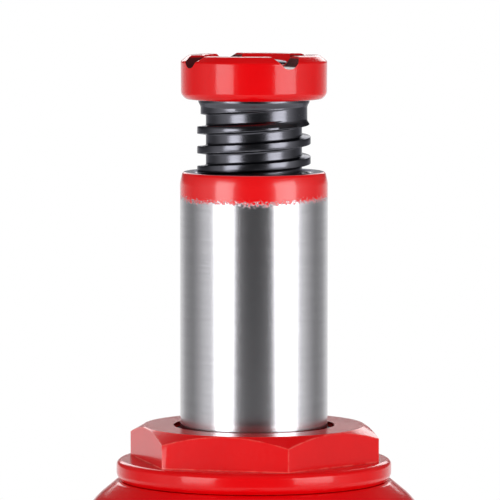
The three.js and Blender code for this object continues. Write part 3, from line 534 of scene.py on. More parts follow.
# %% Metal with tool marks
def tooled_metal(
    name, light, dark, gloss, centre=(0, 0, 0), axis=(0, 0, 1), marks=3500.0, depth=0.00002,
    worn=None, coat=0.0,
):
    """gloss is (finest, coarsest) roughness, centre is in millimetres, marks are rings in a metre."""
    material, tree, shader = start_material(name, Metallic=1.0, Coat_Weight=coat, Coat_Roughness=0.2)
    shader["Specular Tint"].default_value = OXIDE_TINT if light is BLACK[0] else PLAIN_TINT
    place = tuple(c * MM for c in centre)
    rings = effect(tree, marks_group, Centre=place, Axis=tuple(axis), Marks_per_metre=marks)
    colour = blend_colours(tree, ramp(tree, rings["Patch"], 0.3, 0.7), (*dark, 1.0), (*light, 1.0))
    mix = maths(tree, "ADD", maths(tree, "MULTIPLY", rings["Streak"], 0.6), rings["Patch"])
    rough = ramp(tree, mix, 0.55, 1.05, gloss[0], gloss[1])
    if worn:
        edges = effect(tree, edge_wear_and_highlight_group, Amount=0.5, Reach=0.0005)
        colour = blend_colours(tree, edges["Mask"], colour, (*worn, 1.0))
    feed(tree, shader["Base Color"], colour)
    feed(tree, shader["Roughness"], rough)
    feed(tree, shader["Normal"], bumped(tree, rings["Streak"], depth))
    return material


OXIDE_TINT = (0.30, 0.30, 0.33, 1.0)
PLAIN_TINT = (1.0, 1.0, 1.0, 1.0)
ZINC = ((0.66, 0.67, 0.68), (0.50, 0.51, 0.54), (0.22, 0.42))
BLACK = ((0.12, 0.12, 0.14), (0.07, 0.07, 0.085), (0.17, 0.28))
STEEL = ((0.58, 0.58, 0.60), (0.44, 0.44, 0.46), (0.24, 0.40))
GROUND = ((0.64, 0.64, 0.67), (0.56, 0.56, 0.59), (0.12, 0.20))
COPPER = ((0.78, 0.40, 0.24), (0.62, 0.30, 0.17), (0.25, 0.45))
BRONZE = ((0.66, 0.47, 0.22), (0.50, 0.34, 0.15), (0.40, 0.60))
print("metals share the tool marks group")


# %% [markdown]
# ## Rubber, nylon and urethane
#
# Moulded soft parts have no tool marks. They have a slight bloom, a fine moulded texture and an
# even, dull shine. Noise at two sizes gives both, and roughness stays high.

# %% Moulded material
def moulded(name, light, dark, gloss, grain=1800.0, depth=0.00004):
    material, tree, shader = start_material(name, Specular_IOR_Level=0.4)
    place = own_place(tree)
    bloom = noise(tree, place, 90.0, 3.0, 0.6)
    colour = blend_colours(tree, ramp(tree, bloom, 0.3, 0.7), (*dark, 1.0), (*light, 1.0))
    feed(tree, shader["Base Color"], colour)
    feed(tree, shader["Roughness"], ramp(tree, bloom, 0.25, 0.75, gloss[0], gloss[1]))
    texture = noise(tree, place, grain, 3.0, 0.6)
    feed(tree, shader["Normal"], bumped(tree, texture, depth))
    return material


rubber = moulded("black_rubber", (0.040, 0.040, 0.042), (0.018, 0.018, 0.019), (0.50, 0.72))
nylon = moulded("natural_nylon", (0.80, 0.75, 0.64), (0.70, 0.65, 0.54), (0.35, 0.50))
urethane = moulded("blue_urethane", (0.06, 0.24, 0.36), (0.04, 0.16, 0.26), (0.30, 0.45))
print("soft materials:", rubber.name, nylon.name, urethane.name)


# %% Finish a piece: material, body and the parts it stands for
def finish_piece(piece, body, slot, material, *nodes):
    piece.data.materials.clear()
    piece.data.materials.append(material)
    for face in piece.data.polygons:
        face.material_index = 0
    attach(piece, body)
    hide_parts(*nodes)
    print(piece.name, "faces", len(piece.data.polygons))
    return piece


# %% [markdown]
# ## The saddle
#
# The saddle is the red cap that takes the load: a short turned disc with a chamfered rim, a dished
# top, and four V notches that grip an axle or a frame. The peened end of the screw holds it on.
# The disc is lathe work. The notches are cut radially with a V-shaped cutter, and their edges
# are broken so that the enamel shows a bright line. The notch walls are painted dark as shade
# in the recesses: the mask for it looks for walls that are turned away from the radius, and turns
# with the saddle.

# %% Saddle blank, V notches, broken edges, painted shade in the notches
saddle_floor = reach("saddle")[0].z
saddle_profile = [
    (8.3, 0.0, 0.2), (20.7, 0.0, 0.6), (22.2, 1.5, 1.4), (22.3, 11.5, 0.5), (19.9, 13.4, 0.7),
    (15.7, 13.4, 0.5), (14.7, 10.8, 0.8), (10.8, 10.8, 0.2), (8.3, 8.9, 0.2),
]
saddle_place = Matrix.Translation((0, 0, saddle_floor))
saddle = lathed("saddle_cap", saddle_profile, 160, saddle_place)
notch_points = [
    (-1.5, 9.7, 1.3), (1.5, 9.7, 1.3), (4.8, 13.5, 0), (7.0, 16.0, 0), (-7.0, 16.0, 0), (-4.8, 13.5, 0),
]
notch_outline = eased(notch_points, 0, 4)
FIRST_NOTCH_DEG = -61
for quarter in range(4):
    bearing_angle = math.radians(FIRST_NOTCH_DEG + 90 * quarter)
    aim = saddle_place @ Matrix.Rotation(bearing_angle, 4, "Z") @ IN_SIDE_PLANE
    cut(saddle, extruded("notch_cutter", notch_outline, 12.5, 24.0, aim))
break_edges(saddle, 0.35, 3, 32)


# Heights over the saddle's floor where the painted shade in the notches starts, is full, fades and ends.
NOTCH_SHADE_HEIGHTS = (5.0, 6.0, 12.6, 13.3)


def shade_in_the_notches(tree):
    """1 on the walls of the notches, where shade is painted: turned away from the radius, outside the
    dish, below the top.
    """
    axes = put(tree, "SeparateXYZ", own_place(tree)).outputs
    flat = put(tree, "CombineXYZ", axes["X"], axes["Y"], 0.0).outputs[0]
    normal = put(
        tree, "VectorTransform", put(tree, "NewGeometry").outputs["Normal"],
        settings={"vector_type": "NORMAL", "convert_from": "WORLD", "convert_to": "OBJECT"},
    ).outputs[0]
    facing = vectors(tree, "DOT_PRODUCT", vectors(tree, "NORMALIZE", flat), normal)
    side_on = ramp(tree, maths(tree, "ABSOLUTE", facing), 0.25, 0.45, 1.0, 0.0)
    outside = ramp(tree, vectors(tree, "LENGTH", flat), 0.0150, 0.0154)
    start, full, fading, top = ((saddle_floor + up) * MM for up in NOTCH_SHADE_HEIGHTS)
    below = ramp(tree, axes["Z"], fading, top, 1.0, 0.0)
    above = ramp(tree, axes["Z"], start, full)
    walls = maths(tree, "MULTIPLY", side_on, outside)
    return maths(tree, "MULTIPLY", walls, maths(tree, "MULTIPLY", below, above))


# The saddle's enamel, with painted shade on the walls of its notches.
enamel_notch_shade = red_enamel("red_enamel_painted_notch_shade", 0.12, 0.0, 0.45, painted_shade=shade_in_the_notches)
finish_piece(saddle, "saddle", "red_paint", enamel_notch_shade, "saddle")

# %% [markdown]
# ## A thread as one clean mesh
#
# A screw thread is a ridge that climbs as it turns. Sweeping a profile along a helix leaves a
# loose ribbon; instead, the whole surface is one sheet. Rows of points follow the helix, and each
# point's radius depends on where it is across the ridge. After one turn a row meets the row one
# pitch above it. Rows that would pass an end are held at that end, where they merge into a circle.


# %% Helical sheet between two heights
def share_of(value):
    """Holds a value between 0 and 1."""
    return min(max(value, 0.0), 1.0)


def helical_sheet(low, high, pitch, phase, across, radius_at, sides=120):
    """A bmesh open at both ends. across lists positions over one pitch.

    The radius comes from radius_at(position, height, turn).
    """
    made = bmesh.new()
    first = math.floor((low - phase) / pitch) - 2
    last = math.ceil((high - phase) / pitch) + 2
    rows = [(turn, s) for turn in range(first, last) for s in across]
    grid = []
    for turn, s in rows:
        row = []
        for k in range(sides):
            angle = TURN * k / sides
            height = phase + pitch * (turn + k / sides) + s
            held = min(max(height, low), high)
            radius = radius_at(s, held, turn + k / sides)
            row.append(made.verts.new((radius * math.cos(angle), radius * math.sin(angle), held)))
        grid.append(row)
    jump = len(across)
    for j in range(len(grid) - jump - 1):
        for k in range(sides):
            if k < sides - 1:
                corners = [grid[j][k], grid[j][k + 1], grid[j + 1][k + 1], grid[j + 1][k]]
            else:
                corners = [grid[j][k], grid[j + jump][0], grid[j + jump + 1][0], grid[j + 1][k]]
            heights = {round(v.co.z, 6) for v in corners}
            if len(heights) > 1:
                made.faces.new(corners)
    bmesh.ops.remove_doubles(made, verts=made.verts, dist=1e-4)
    loose = [v for v in made.verts if not v.link_faces]
    bmesh.ops.delete(made, geom=loose, context="VERTS")
    return made


def rings_onto(shape, ring_height, profile, sides=120):
    """Grows lathe rings from the open circle at a height, following (radius, height) points.

    The last point is on the axis, where the rings close in a tip.
    """
    at_height = [v for v in shape.verts if abs(v.co.z - ring_height) < 1e-4]
    circle = [v for v in at_height if any(e.is_boundary for e in v.link_edges)]
    last = sorted(circle, key=lambda v: round(math.atan2(v.co.y, v.co.x) % TURN, 6) % round(TURN, 6))
    for radius, height in profile:
        ring = ring_of(shape, radius, height, sides)
        skin_between(shape, last, ring)
        last = ring


print("thread tools are ready")

# %% [markdown]
# ## The extension screw
#
# A black-oxide screw rises from the ram, so that the saddle meets the load before any pumping.
# Its thread is square-shouldered, 6 mm in pitch. At the top the cutter was drawn out into the neck,
# so the last groove grows shallow and vanishes. The radius rule below does just that: a groove
# depth across the pitch, times a fade along the turn.

# %% Screw thread with a runout, neck, spigot and peened head
origin = saddle_floor
PITCH, CREST, ROOT, NECK = 6.0, 17.3, 14.65, 16.25
CREST_PHASE = -12.5
THREAD_LOW, THREAD_TOP = -97.5, -2.3
NECK_LOW, LEAD_IN = -8.3, 2.2
RUNOUT_TURN, RUNOUT_LENGTH = 0.88, 0.26
ACROSS = [-3.0, -2.2, -1.62, -1.5, -1.42, -1.18, -1.06, -0.9, 0.0, 0.9, 1.06, 1.18, 1.42, 1.5, 1.62, 2.2]


def groove_share(s):
    """0 on the crest, 1 on the root, over one pitch, with small curves at both corners."""
    off = abs(s)
    points = [(0.90, 0.0), (1.06, 0.02), (1.18, 0.12), (1.42, 0.88), (1.50, 0.97), (1.62, 1.0)]
    if off <= points[0][0]:
        return 0.0
    for (a, fa), (b, fb) in zip(points, points[1:]):
        if off <= b:
            return fa + (fb - fa) * (off - a) / (b - a)
    return 1.0


def outer_envelope(height):
    """The bar before threading: crest size below, easing in to the neck above."""
    t = share_of((height - NECK_LOW) / 1.9)
    return CREST + (NECK - CREST) * t * t * (3 - 2 * t)


def screw_radius(s, height, turn):
    outside = outer_envelope(height)
    groove_turn = turn - 1 if s < 0 else turn
    left = share_of((RUNOUT_TURN - groove_turn) / RUNOUT_LENGTH)
    tip = share_of((height - THREAD_LOW) / LEAD_IN)
    share = groove_share(s) * left * left * (3 - 2 * left)
    radius = outside - (outside - ROOT) * share
    return ROOT - 0.35 + (radius - ROOT + 0.35) * tip


thread = helical_sheet(THREAD_LOW, THREAD_TOP, PITCH, CREST_PHASE, ACROSS, screw_radius)
lower = [
    (13.35, -97.5), (13.0, -97.6), (13.0, -100.1), (13.3, -100.2), (14.0, -100.3), (14.2, -100.6),
    (14.2, -103.2), (13.9, -103.8), (13.2, -104.2), (0, -104.2),
]
upper = [
    (16.35, -2.1), (16.5, -1.7), (16.88, -1.0), (16.95, -0.6), (16.9, -0.12), (16.8, -0.1),
    (8.3, -0.1), (8.0, 0.1), (8.0, 8.4), (8.1, 9.0), (9.6, 9.4), (10.35, 9.9), (10.5, 10.5),
    (10.35, 11.0), (9.7, 11.5), (7.6, 11.9), (3.8, 12.15), (0, 12.2),
]
rings_onto(thread, THREAD_LOW, lower)
rings_onto(thread, THREAD_TOP, upper)
bmesh.ops.recalc_face_normals(thread, faces=thread.faces)
print("open edges on the screw:", sum(1 for e in thread.edges if e.is_boundary))
screw = as_object("extension_screw_threaded", thread, Matrix.Translation((0, 0, origin)))
black_upright = tooled_metal(
    "black_oxide_upright", *BLACK, marks=1600.0, depth=0.00003, worn=(0.36, 0.36, 0.38), coat=0.35
)
finish_piece(screw, "screw", "black_oxide", black_upright, "extension_screw")

# %% [markdown]
# ## The ram
#
# The ram is the ground steel piston that lifts. Its mouth is tapped for the screw, and the first few
# millimetres outside are dipped in red, with a soft speckled edge where the spray thinned out.
# The outside is lathe work, and the tapped mouth is the same helical sheet turned inside out.

# %% Ram: stud, body, rim and tapped mouth
ram_low, ram_high = reach("ram")
RIM = ram_high.z
TAP_DEPTH = 30.0
TAP_OUT, TAP_IN = 17.8, 15.15
BORE_FLOOR = 193.9
ridge_phase = origin + CREST_PHASE + PITCH / 2 - 4 * PITCH
RIDGE = [
    -3.0, -2.3, -1.86, -1.8, -1.74, -1.46, -1.4, -1.3, -0.7,
    0.0, 0.7, 1.3, 1.4, 1.46, 1.74, 1.8, 1.86, 2.3,
]


def ridge_share(s):
    """1 on the inside ridge, 0 between ridges."""
    off = abs(s)
    if off <= 1.40:
        return 1.0
    if off >= 1.80:
        return 0.0
    return (1.80 - off) / 0.40


def tap_radius(s, height, turn):
    lead = share_of((RIM - 0.9 - height) / 1.6)
    tail = share_of((height - (RIM - TAP_DEPTH)) / 2.0)
    return TAP_OUT - (TAP_OUT - TAP_IN) * ridge_share(s) * lead * tail


tap = helical_sheet(RIM - TAP_DEPTH, RIM - 0.8, PITCH, ridge_phase, RIDGE, tap_radius)
inside = [
    (TAP_OUT, RIM - TAP_DEPTH - 1.0), (TAP_OUT, BORE_FLOOR + 0.6), (17.2, BORE_FLOOR),
    (0, BORE_FLOOR - 4.0),
]
rings_onto(tap, RIM - TAP_DEPTH, inside)
body_high = [
    (18.5, RIM - 0.05), (18.8, RIM), (21.1, RIM), (21.45, RIM - 0.1), (21.8, RIM - 0.5),
    (22.0, RIM - 1.0), (22.3, RIM - 2.4), (22.46, RIM - 3.2), (22.5, RIM - 3.9), (22.5, RIM - 12),
    (22.5, RIM - 60),
    (22.5, 211.0), (22.5, 112.0), (22.3, 110.9), (21.9, 110.5), (9.4, 110.5), (9.0, 110.1),
    (9.0, ram_low.z + 1.0), (8.2, ram_low.z), (0, ram_low.z),
]
rings_onto(tap, RIM - 0.8, body_high)
bmesh.ops.recalc_face_normals(tap, faces=tap.faces)
print("open edges on the ram:", sum(1 for e in tap.edges if e.is_boundary))
ram = as_object("ram_ground_and_tapped", tap)

# %% [markdown]
# ### Ground steel with a painted band
#
# One Principled shader serves both finishes. A mask of height along the ram decides how much is
# paint: it is moved up and down by noise, so the lower edge wanders and breaks into specks. The
# mask drives colour, metal, roughness and coat together. The flat top of the rim is left out of
# the mask: it is a turned face, darker than the ground side.

# %% Ram material
RAM_DARK, RAM_LIGHT, RAM_STREAK = (0.52, 0.51, 0.54, 1), (0.58, 0.57, 0.60, 1), (0.68, 0.68, 0.71, 1)
RIM_FACE, RIM_TINT = (0.16, 0.16, 0.18, 1), (0.35, 0.35, 0.38, 1)
SPECKLE_SIZE, WANDER_SIZE, BAND_TILT = 0.0060, 0.0020, -0.05
ram_material, tree, shader = start_material("ground_steel_red_band", Coat_Roughness=0.1)
marks = effect(tree, marks_group, Marks_per_metre=5200.0, Drift=1.6)
axes = put(tree, "SeparateXYZ", own_place(tree)).outputs
speckle = noise(tree, own_place(tree), 1500.0, 2.0, 0.7)
wander = noise(tree, own_place(tree), 70.0, 2.0, 0.5)
moved = axes["Z"]
for unevenness, size in ((speckle, SPECKLE_SIZE), (wander, WANDER_SIZE)):
    off_middle = maths(tree, "SUBTRACT", unevenness, 0.5)
    moved = maths(tree, "ADD", moved, maths(tree, "MULTIPLY", off_middle, size))
moved = maths(tree, "ADD", moved, maths(tree, "MULTIPLY", axes["Y"], BAND_TILT))
band = ramp(tree, moved, (RIM - 8.1) * MM, (RIM - 6.7) * MM, smooth=True)
across_axis = put(tree, "CombineXYZ", axes["X"], axes["Y"], 0.0).outputs[0]
out_from_axis = vectors(tree, "LENGTH", across_axis)
rim_side = ramp(tree, out_from_axis, 0.0212, 0.0216)
band = maths(tree, "MULTIPLY", band, rim_side)
metal_colour = blend_colours(tree, ramp(tree, marks["Patch"], 0.3, 0.7), RAM_DARK, RAM_LIGHT)
sparkle = noise(tree, own_place(tree), 6500.0, 2.0, 0.8)
grain = ramp(tree, maths(tree, "ADD", marks["Streak"], sparkle), 0.75, 1.25)
streaked = blend_colours(tree, grain, metal_colour, RAM_STREAK)
up_top = ramp(tree, axes["Z"], (RIM - 0.7) * MM, (RIM - 0.3) * MM)
rim_flat = maths(tree, "MULTIPLY", up_top, maths(tree, "SUBTRACT", 1.0, rim_side))
turned_face = blend_colours(tree, rim_flat, streaked, RIM_FACE)
feed(tree, shader["Base Color"], blend_colours(tree, band, turned_face, ENAMEL_RED))
feed(tree, shader["Specular Tint"], blend_colours(tree, rim_flat, PLAIN_TINT, RIM_TINT))
feed(tree, shader["Metallic"], maths(tree, "SUBTRACT", 1.0, band))
bare_rough = ramp(tree, sparkle, 0.3, 0.75, 0.21, 0.28)
rough_mix = put(tree, "Mix", settings={"data_type": "FLOAT"})
for index, value in ((0, band), (2, bare_rough), (3, 0.27)):
    feed(tree, rough_mix.inputs[index], value)
feed(tree, shader["Roughness"], rough_mix.outputs[0])
feed(tree, shader["Coat Weight"], maths(tree, "MULTIPLY", band, 0.5))
paint_step = bumped(tree, band, 0.00008)
feed(tree, shader["Normal"], bumped(tree, marks["Streak"], 0.000006, 0.8, paint_step))
finish_piece(ram, "ram", "ground_steel", ram_material, "ram")


# %% [markdown]
# ## The top nut
#
# A big hexagonal nut closes the reservoir and guides the ram. It stands on a round flange, and its
# upper corners are chamfered, which gives each flat its arched top line. The hexagon is a
# six-sided lathe blank, kept only where a chamfered round blank also is.

# %% Hexagonal heads: six-sided blank and chamfered round blank
def hexagon_head(name, flats, low, high, bearing_deg=0.0, chamfer=None, place=None):
    """A hexagon across flats with its top corners chamfered. chamfer is the radius where it starts."""
    corner = flats / math.sqrt(3)
    start = chamfer or flats * 0.485
    slope = (corner + 1 - start) * math.tan(math.radians(30))
    six = [(0, low), (corner, low), (corner, high), (0, high)]
    head = as_object(name, turned(six, 6, math.radians(bearing_deg)), place)
    rounded_blank = [(0, low), (corner + 1, low), (corner + 1, high - slope), (start, high), (0, high)]
    return keep_common(head, as_object("chamfer_blank", turned(rounded_blank, 144), place))


nut_low, nut_high = reach("top_nut")
NUT_TOP, FLANGE_TOP, SEAT = nut_high.z, 205.7, 199.4
top_nut = hexagon_head("top_nut_hexagon", 68.0, 202.0, NUT_TOP, bearing_deg=-74.8, chamfer=33.7)
flange_profile = [
    (22.8, nut_low.z, 0.6), (28.7, nut_low.z, 0.8), (28.7, SEAT - 0.2, 0.1), (40.8, SEAT, 0.4),
    (42.0, SEAT + 1.6, 0.9), (42.0, FLANGE_TOP - 1.0, 0.9), (40.9, FLANGE_TOP, 0.7),
    (33.0, FLANGE_TOP, 0.1), (33.0, FLANGE_TOP - 1.5, 0.1), (22.8, FLANGE_TOP - 1.5, 0.1),
]
flange = lathed("flange", flange_profile, 192)
join(top_nut, flange)
counterbore = [
    (0, 170), (22.8, 170), (22.8, 211.2), (25.8, 211.2), (25.8, 214.8), (24.4, 216.3),
    (24.4, 230), (0, 230),
]
cut(top_nut, as_object("bore_cutter", turned(counterbore, 144)))
break_edges(top_nut, 0.55, 3, 28)
finish_piece(top_nut, "jack_body", "red_paint", enamel_worn_and_highlit, "top_nut")

wiper_low, wiper_high = reach("ram_wiper")
lip = [
    (22.62, wiper_high.z - 0.5, 0.1), (23.2, wiper_high.z - 1.5, 0.3), (23.0, wiper_low.z, 0.1),
    (25.7, wiper_low.z, 0.2), (25.7, wiper_high.z - 0.6, 0.2), (24.2, wiper_high.z, 0.4),
]
ram_wiper = lathed("ram_wiper_lip", lip, 128, ease=0.2)
finish_piece(ram_wiper, "jack_body", "rubber", rubber, "ram_wiper")

# %% [markdown]
# ## The reservoir
#
# The reservoir is a pressed steel tube that holds the oil round the pressure cylinder. Its shoulder
# is spun in to meet the nut's flange, in one smooth curve. A weld bead would be hidden under
# the collar. It is lathe work, with a hole at the side for the rubber filler plug.

# %% Reservoir tube with its shoulder and filler hole
casing_low, casing_high = reach("reservoir_casing")
bottom, top = casing_low.z, casing_high.z
casing_profile = [
    (48.0, bottom, 0.3), (51.0, bottom, 0.6), (51.0, 187.6, 2.5), (50.3, 191.4, 1.6), (47.6, 194.6, 1.8),
    (42.2, top - 0.25, 0.6), (41.2, top, 0.3), (36.3, top, 0.3), (36.3, top - 2.6, 0.4),
    (41.0, top - 3.0, 1.0), (46.2, 191.8, 2.0), (48.0, 187.0, 2.0),
]
reservoir = lathed("reservoir_tube", casing_profile, 224, ease=0.5, steps=5)
plug_low, plug_high = reach("filler_plug")
PLUG_Z = (plug_low.z + plug_high.z) / 2
cut(reservoir, rod("filler_hole", 6.3, 40, 60, LEFTWARD, z=PLUG_Z))
finish_piece(reservoir, "jack_body", "red_paint", enamel, "reservoir_casing")

plug_profile = [
    (0, 43.2), (4.9, 43.2, 0.6), (6.0, 44.8, 0.6), (6.0, 46.6, 0.2), (5.6, 47.0, 0.2), (6.0, 47.4, 0.2),
    (6.0, 51.1, 0.1), (9.0, 51.1, 0.5), (9.0, 53.0, 0.9), (7.8, 54.3, 0.6), (4.6, 54.3, 0.5),
    (3.8, 53.5, 0.6), (0, 53.3),
]
filler_plug = lathed("filler_plug_moulded", plug_profile, 72, axis_to(LEFTWARD, z=PLUG_Z), 0.3)
finish_piece(filler_plug, "filler_plug", "rubber", rubber, "filler_plug")

# %% [markdown]
# ## The base casting
#
# The base is one iron casting: a wide foot, a collar for the reservoir, a boss for the pump, a lug
# for the link, and bosses for the valves. On a casting every inside corner has a fillet, because
# sharp corners crack as the iron cools. So the shapes are joined roughly, turned into an even
# skin with a voxel remesh, and smoothed: the fillets appear by themselves. The machined seats
# and bores are cut afterwards, and keep their crisp edges, as they do on the real part.


# %% Outlines for the foot and for bars with round ends
def rounded_outline(points, steps=8):
    """Rounds the corners of (x, y, ease) points."""
    made = []
    count = len(points)
    for i, (x, y, own) in enumerate(points):
        back, on = Vector(points[i - 1][:2]), Vector(points[(i + 1) % count][:2])
        made.extend(ease_corner(back, Vector((x, y)), on, own, steps))
    return made


def bar_outline(first, second, steps=20):
    """A bar with a round end about each (across, up, radius)."""
    (y0, z0, r0), (y1, z1, r1) = first, second
    heading = math.atan2(z1 - z0, y1 - y0)
    lean = math.acos((r0 - r1) / math.hypot(y1 - y0, z1 - z0))
    made = []
    for k in range(steps + 1):
        a = heading + lean + (TURN - 2 * lean) * k / steps
        made.append((y0 + r0 * math.cos(a), z0 + r0 * math.sin(a)))
    for k in range(steps + 1):
        a = heading - lean + 2 * lean * k / steps
        made.append((y1 + r1 * math.cos(a), z1 + r1 * math.sin(a)))
    return made


def cast_skin(piece, voxel, rounds):
    """An even skin over joined shapes, smoothed until the inside corners have fillets."""
    skin = piece.modifiers.new("even skin", "REMESH")
    skin.mode = "VOXEL"
    skin.voxel_size = voxel * MM
    soften = piece.modifiers.new("fillets", "SMOOTH")
    soften.factor = 0.5
    soften.iterations = rounds
    return settle(piece)


print("bar outline has", len(bar_outline((0, 0, 9), (0, 21, 8))), "points")

# %% Join the rough casting
pump_centre = middle("pump_barrel")
lower_pin, fulcrum = middle("link_base_pin"), middle("fulcrum_pin")
PUMP_Y, LINK_Y = pump_centre.y, lower_pin.y
MOUTH = reach("base")[0].y
AT_PUMP = Matrix.Translation((0, PUMP_Y, 0))
PIN_HOLE = 4.8
foot_outline = rounded_outline(
    [(46, MOUTH, 20), (65, -40, 30), (65, 61, 21), (-65, 61, 21), (-65, -40, 30), (-46, MOUTH, 20)]
)
casting = break_edges(extruded("base_casting", foot_outline, 0.0, 14.0), 2.4, 3)
collar = [
    (0, 1), (58.5, 1), (58.5, 17.5, 3), (55.7, 22.5, 3), (55.5, 34.6, 0.5), (54.0, 36.0, 0.8), (0, 36.0),
]
pump_boss = [(0, 1), (23, 1), (23, 17.5, 2), (21, 22.5, 3), (21, 38.6, 0.5), (19.6, 40, 0.5), (0, 40)]
lug = bar_outline((LINK_Y, 26, 9), (LINK_Y, lower_pin.z, 8))
join(
    casting,
    lathed("collar", collar, 192),
    lathed("pump_boss", pump_boss, 96, AT_PUMP),
    block("web", (-19, PUMP_Y, 1), (19, -48, 32)),
    extruded("lug", lug, -7.0, 7.0, IN_SIDE_PLANE),
    rod("release_boss", 11.5, 59.5, -MOUTH, ALONG_FRONT, x=25, z=12),
    rod("delivery_boss", 11.0, 59.5, -MOUTH, ALONG_FRONT, x=-23, z=12),
)
keep_common(casting, block("above_ground", (-99, -150, 0.0), (99, 99, 99)))
cast_skin(casting, 0.95, 9)
print("casting faces", len(casting.data.polygons))

# %% Machine the seats and bores
seats = [
    (0, 18), (36.3, 18), (36.3, 30), (47.7, 30), (47.7, 26), (51.3, 26), (51.3, 35.2), (52.1, 36.2),
    (52.1, 60), (0, 60),
]
pump_seat = [(0, 16), (8, 16), (8, 26), (13.3, 26), (13.3, 39.4), (14.2, 40.4), (14.2, 60), (0, 60)]
release_bore = [
    (0, 66), (6.4, 66), (6.4, 103), (8.3, 103), (8.3, 112.2), (9.2, 113.2), (9.2, 125), (0, 125),
]
delivery_bore = [(0, 84), (6.3, 84), (6.3, 112.4), (7.0, 113.2), (7.0, 125), (0, 125)]
relief_bore = [(0, 38), (5.3, 38), (5.3, 64.4), (6.0, 65.1), (6.0, 80), (0, 80)]
release_centre, relief_centre = middle("release_ball"), middle("relief_ball")
delivery_centre = middle("delivery_ball")
at_release = axis_to(ALONG_FRONT, release_centre.x, 0, release_centre.z)
at_delivery = axis_to(ALONG_FRONT, delivery_centre.x, 0, delivery_centre.z)
at_relief = axis_to(LEFTWARD, 0, relief_centre.y, relief_centre.z)
cut(
    casting,
    as_object("seat_cutter", turned(seats, 192)),
    as_object("pump_cutter", turned(pump_seat, 96), AT_PUMP),
    as_object("release_cutter", turned(release_bore, 64), at_release),
    as_object("delivery_cutter", turned(delivery_bore, 64), at_delivery),
    as_object("relief_cutter", turned(relief_bore, 64), at_relief),
    rod("pin_hole", PIN_HOLE, -20, 20, ALONG_X, y=LINK_Y, z=lower_pin.z),
)
casting.data.shade_smooth()
casting.data.set_sharp_from_angle(angle=SHARP)
finish_piece(casting, "jack_body", "red_paint", enamel_cast, "base")

# %% [markdown]
# ## The pump
#
# The small pump stands in front of the jack: a barrel with a hexagon at its foot, a plated gland
# nut on top with a rubber wiper, and a ground plunger with a flat eye for the socket's pin.
# Round work comes from the lathe, hexagons from the chamfered blank used for the top nut.

# %% Barrel, gland nut and wiper
barrel_low, barrel_high = reach("pump_barrel")
gland_low, gland_high = reach("pump_gland_nut")
BARREL_TOP, GLAND_TOP = barrel_high.z, gland_high.z
barrel = hexagon_head("pump_barrel_body", 34.0, 40.1, 50.1, place=AT_PUMP)
barrel_round = [
    (0, barrel_low.z), (13.0, barrel_low.z, 0.4), (13.0, 41.0, 0.1), (14.5, 41.0, 0.1),
    (14.5, BARREL_TOP - 12, 0.1), (14.2, BARREL_TOP - 11.6, 0.2), (14.2, BARREL_TOP - 10.8, 0.2),
    (14.5, BARREL_TOP - 10.4, 0.1), (14.5, BARREL_TOP, 0.9), (0, BARREL_TOP),
]
join(barrel, lathed("barrel_round", barrel_round, 96, AT_PUMP))
PLUNGER_WAY = 7.35
barrel_bore = [
    (0, 20), (PLUNGER_WAY, 20), (PLUNGER_WAY, BARREL_TOP - 6.1), (11.3, BARREL_TOP - 6.1),
    (11.3, 120), (0, 120),
]
cut(barrel, as_object("bore_cutter", turned(barrel_bore, 72), AT_PUMP))
break_edges(barrel, 0.4, 3, 28)
finish_piece(barrel, "jack_body", "red_paint", enamel, "pump_barrel")

zinc_upright = tooled_metal("zinc_upright", *ZINC, centre=(0, PUMP_Y, 0), marks=2600.0)
gland = hexagon_head("pump_gland_nut_hexagon", 28.0, BARREL_TOP + 0.1, GLAND_TOP, place=AT_PUMP)
gland_round = [
    (0, gland_low.z), (11.0, gland_low.z, 0.5), (11.0, BARREL_TOP + 1, 0), (0, BARREL_TOP + 1),
]
join(gland, lathed("gland_round", gland_round, 72, AT_PUMP))
gland_bore = [
    (0, 60), (PLUNGER_WAY, 60), (PLUNGER_WAY, GLAND_TOP - 3.4), (9.7, GLAND_TOP - 3.4),
    (9.7, 120), (0, 120),
]
cut(gland, as_object("bore_cutter", turned(gland_bore, 72), AT_PUMP))
break_edges(gland, 0.35, 2, 28)
finish_piece(gland, "jack_body", "zinc", zinc_upright, "pump_gland_nut")

small_low, small_high = reach("pump_wiper")
small_lip = [
    (PLUNGER_WAY, small_high.z, 0.2), (7.9, small_high.z - 1.1, 0.2), (7.7, small_low.z, 0.1),
    (9.4, small_low.z, 0.2), (9.4, small_high.z - 0.7, 0.2), (8.4, small_high.z, 0.3),
]
pump_wiper = lathed("pump_wiper_lip", small_lip, 72, AT_PUMP, 0.2)
finish_piece(pump_wiper, "jack_body", "rubber", rubber, "pump_wiper")

# %% Plunger with its flat eye
plunger_low, plunger_high = reach("pump_plunger")
EYE_Z = plunger_high.z - 10.0
plunger_profile = [
    (0, plunger_low.z), (6.0, plunger_low.z, 0.2), (7.0, plunger_low.z + 1, 0.3), (7.0, 31.0, 0.1),
    (5.0, 31.0, 0.1), (5.0, 35.0, 0.1), (7.0, 35.0, 0.1), (7.0, EYE_Z, 0.3), (0, EYE_Z),
]
plunger = lathed("pump_plunger_rod", plunger_profile, 72, AT_PUMP)
cut(
    plunger,
    block("flat_cutter", (5.5, PUMP_Y - 9, EYE_Z - 14.5), (12, PUMP_Y + 9, EYE_Z + 9)),
    block("flat_cutter", (-12, PUMP_Y - 9, EYE_Z - 14.5), (-5.5, PUMP_Y + 9, EYE_Z + 9)),
)
join(plunger, rod("eye", 10.0, -5.5, 5.5, ALONG_X, y=PUMP_Y, z=EYE_Z, sides=72))
cut(plunger, rod("eye_hole", 5.9, -20, 20, ALONG_X, y=PUMP_Y, z=EYE_Z))
break_edges(plunger, 0.4, 2, 35)
ground_pump = tooled_metal("ground_steel_pump", *GROUND, centre=(0, PUMP_Y, 0), marks=5200.0)
finish_piece(plunger, "plunger", "ground_steel", ground_pump, "pump_plunger")

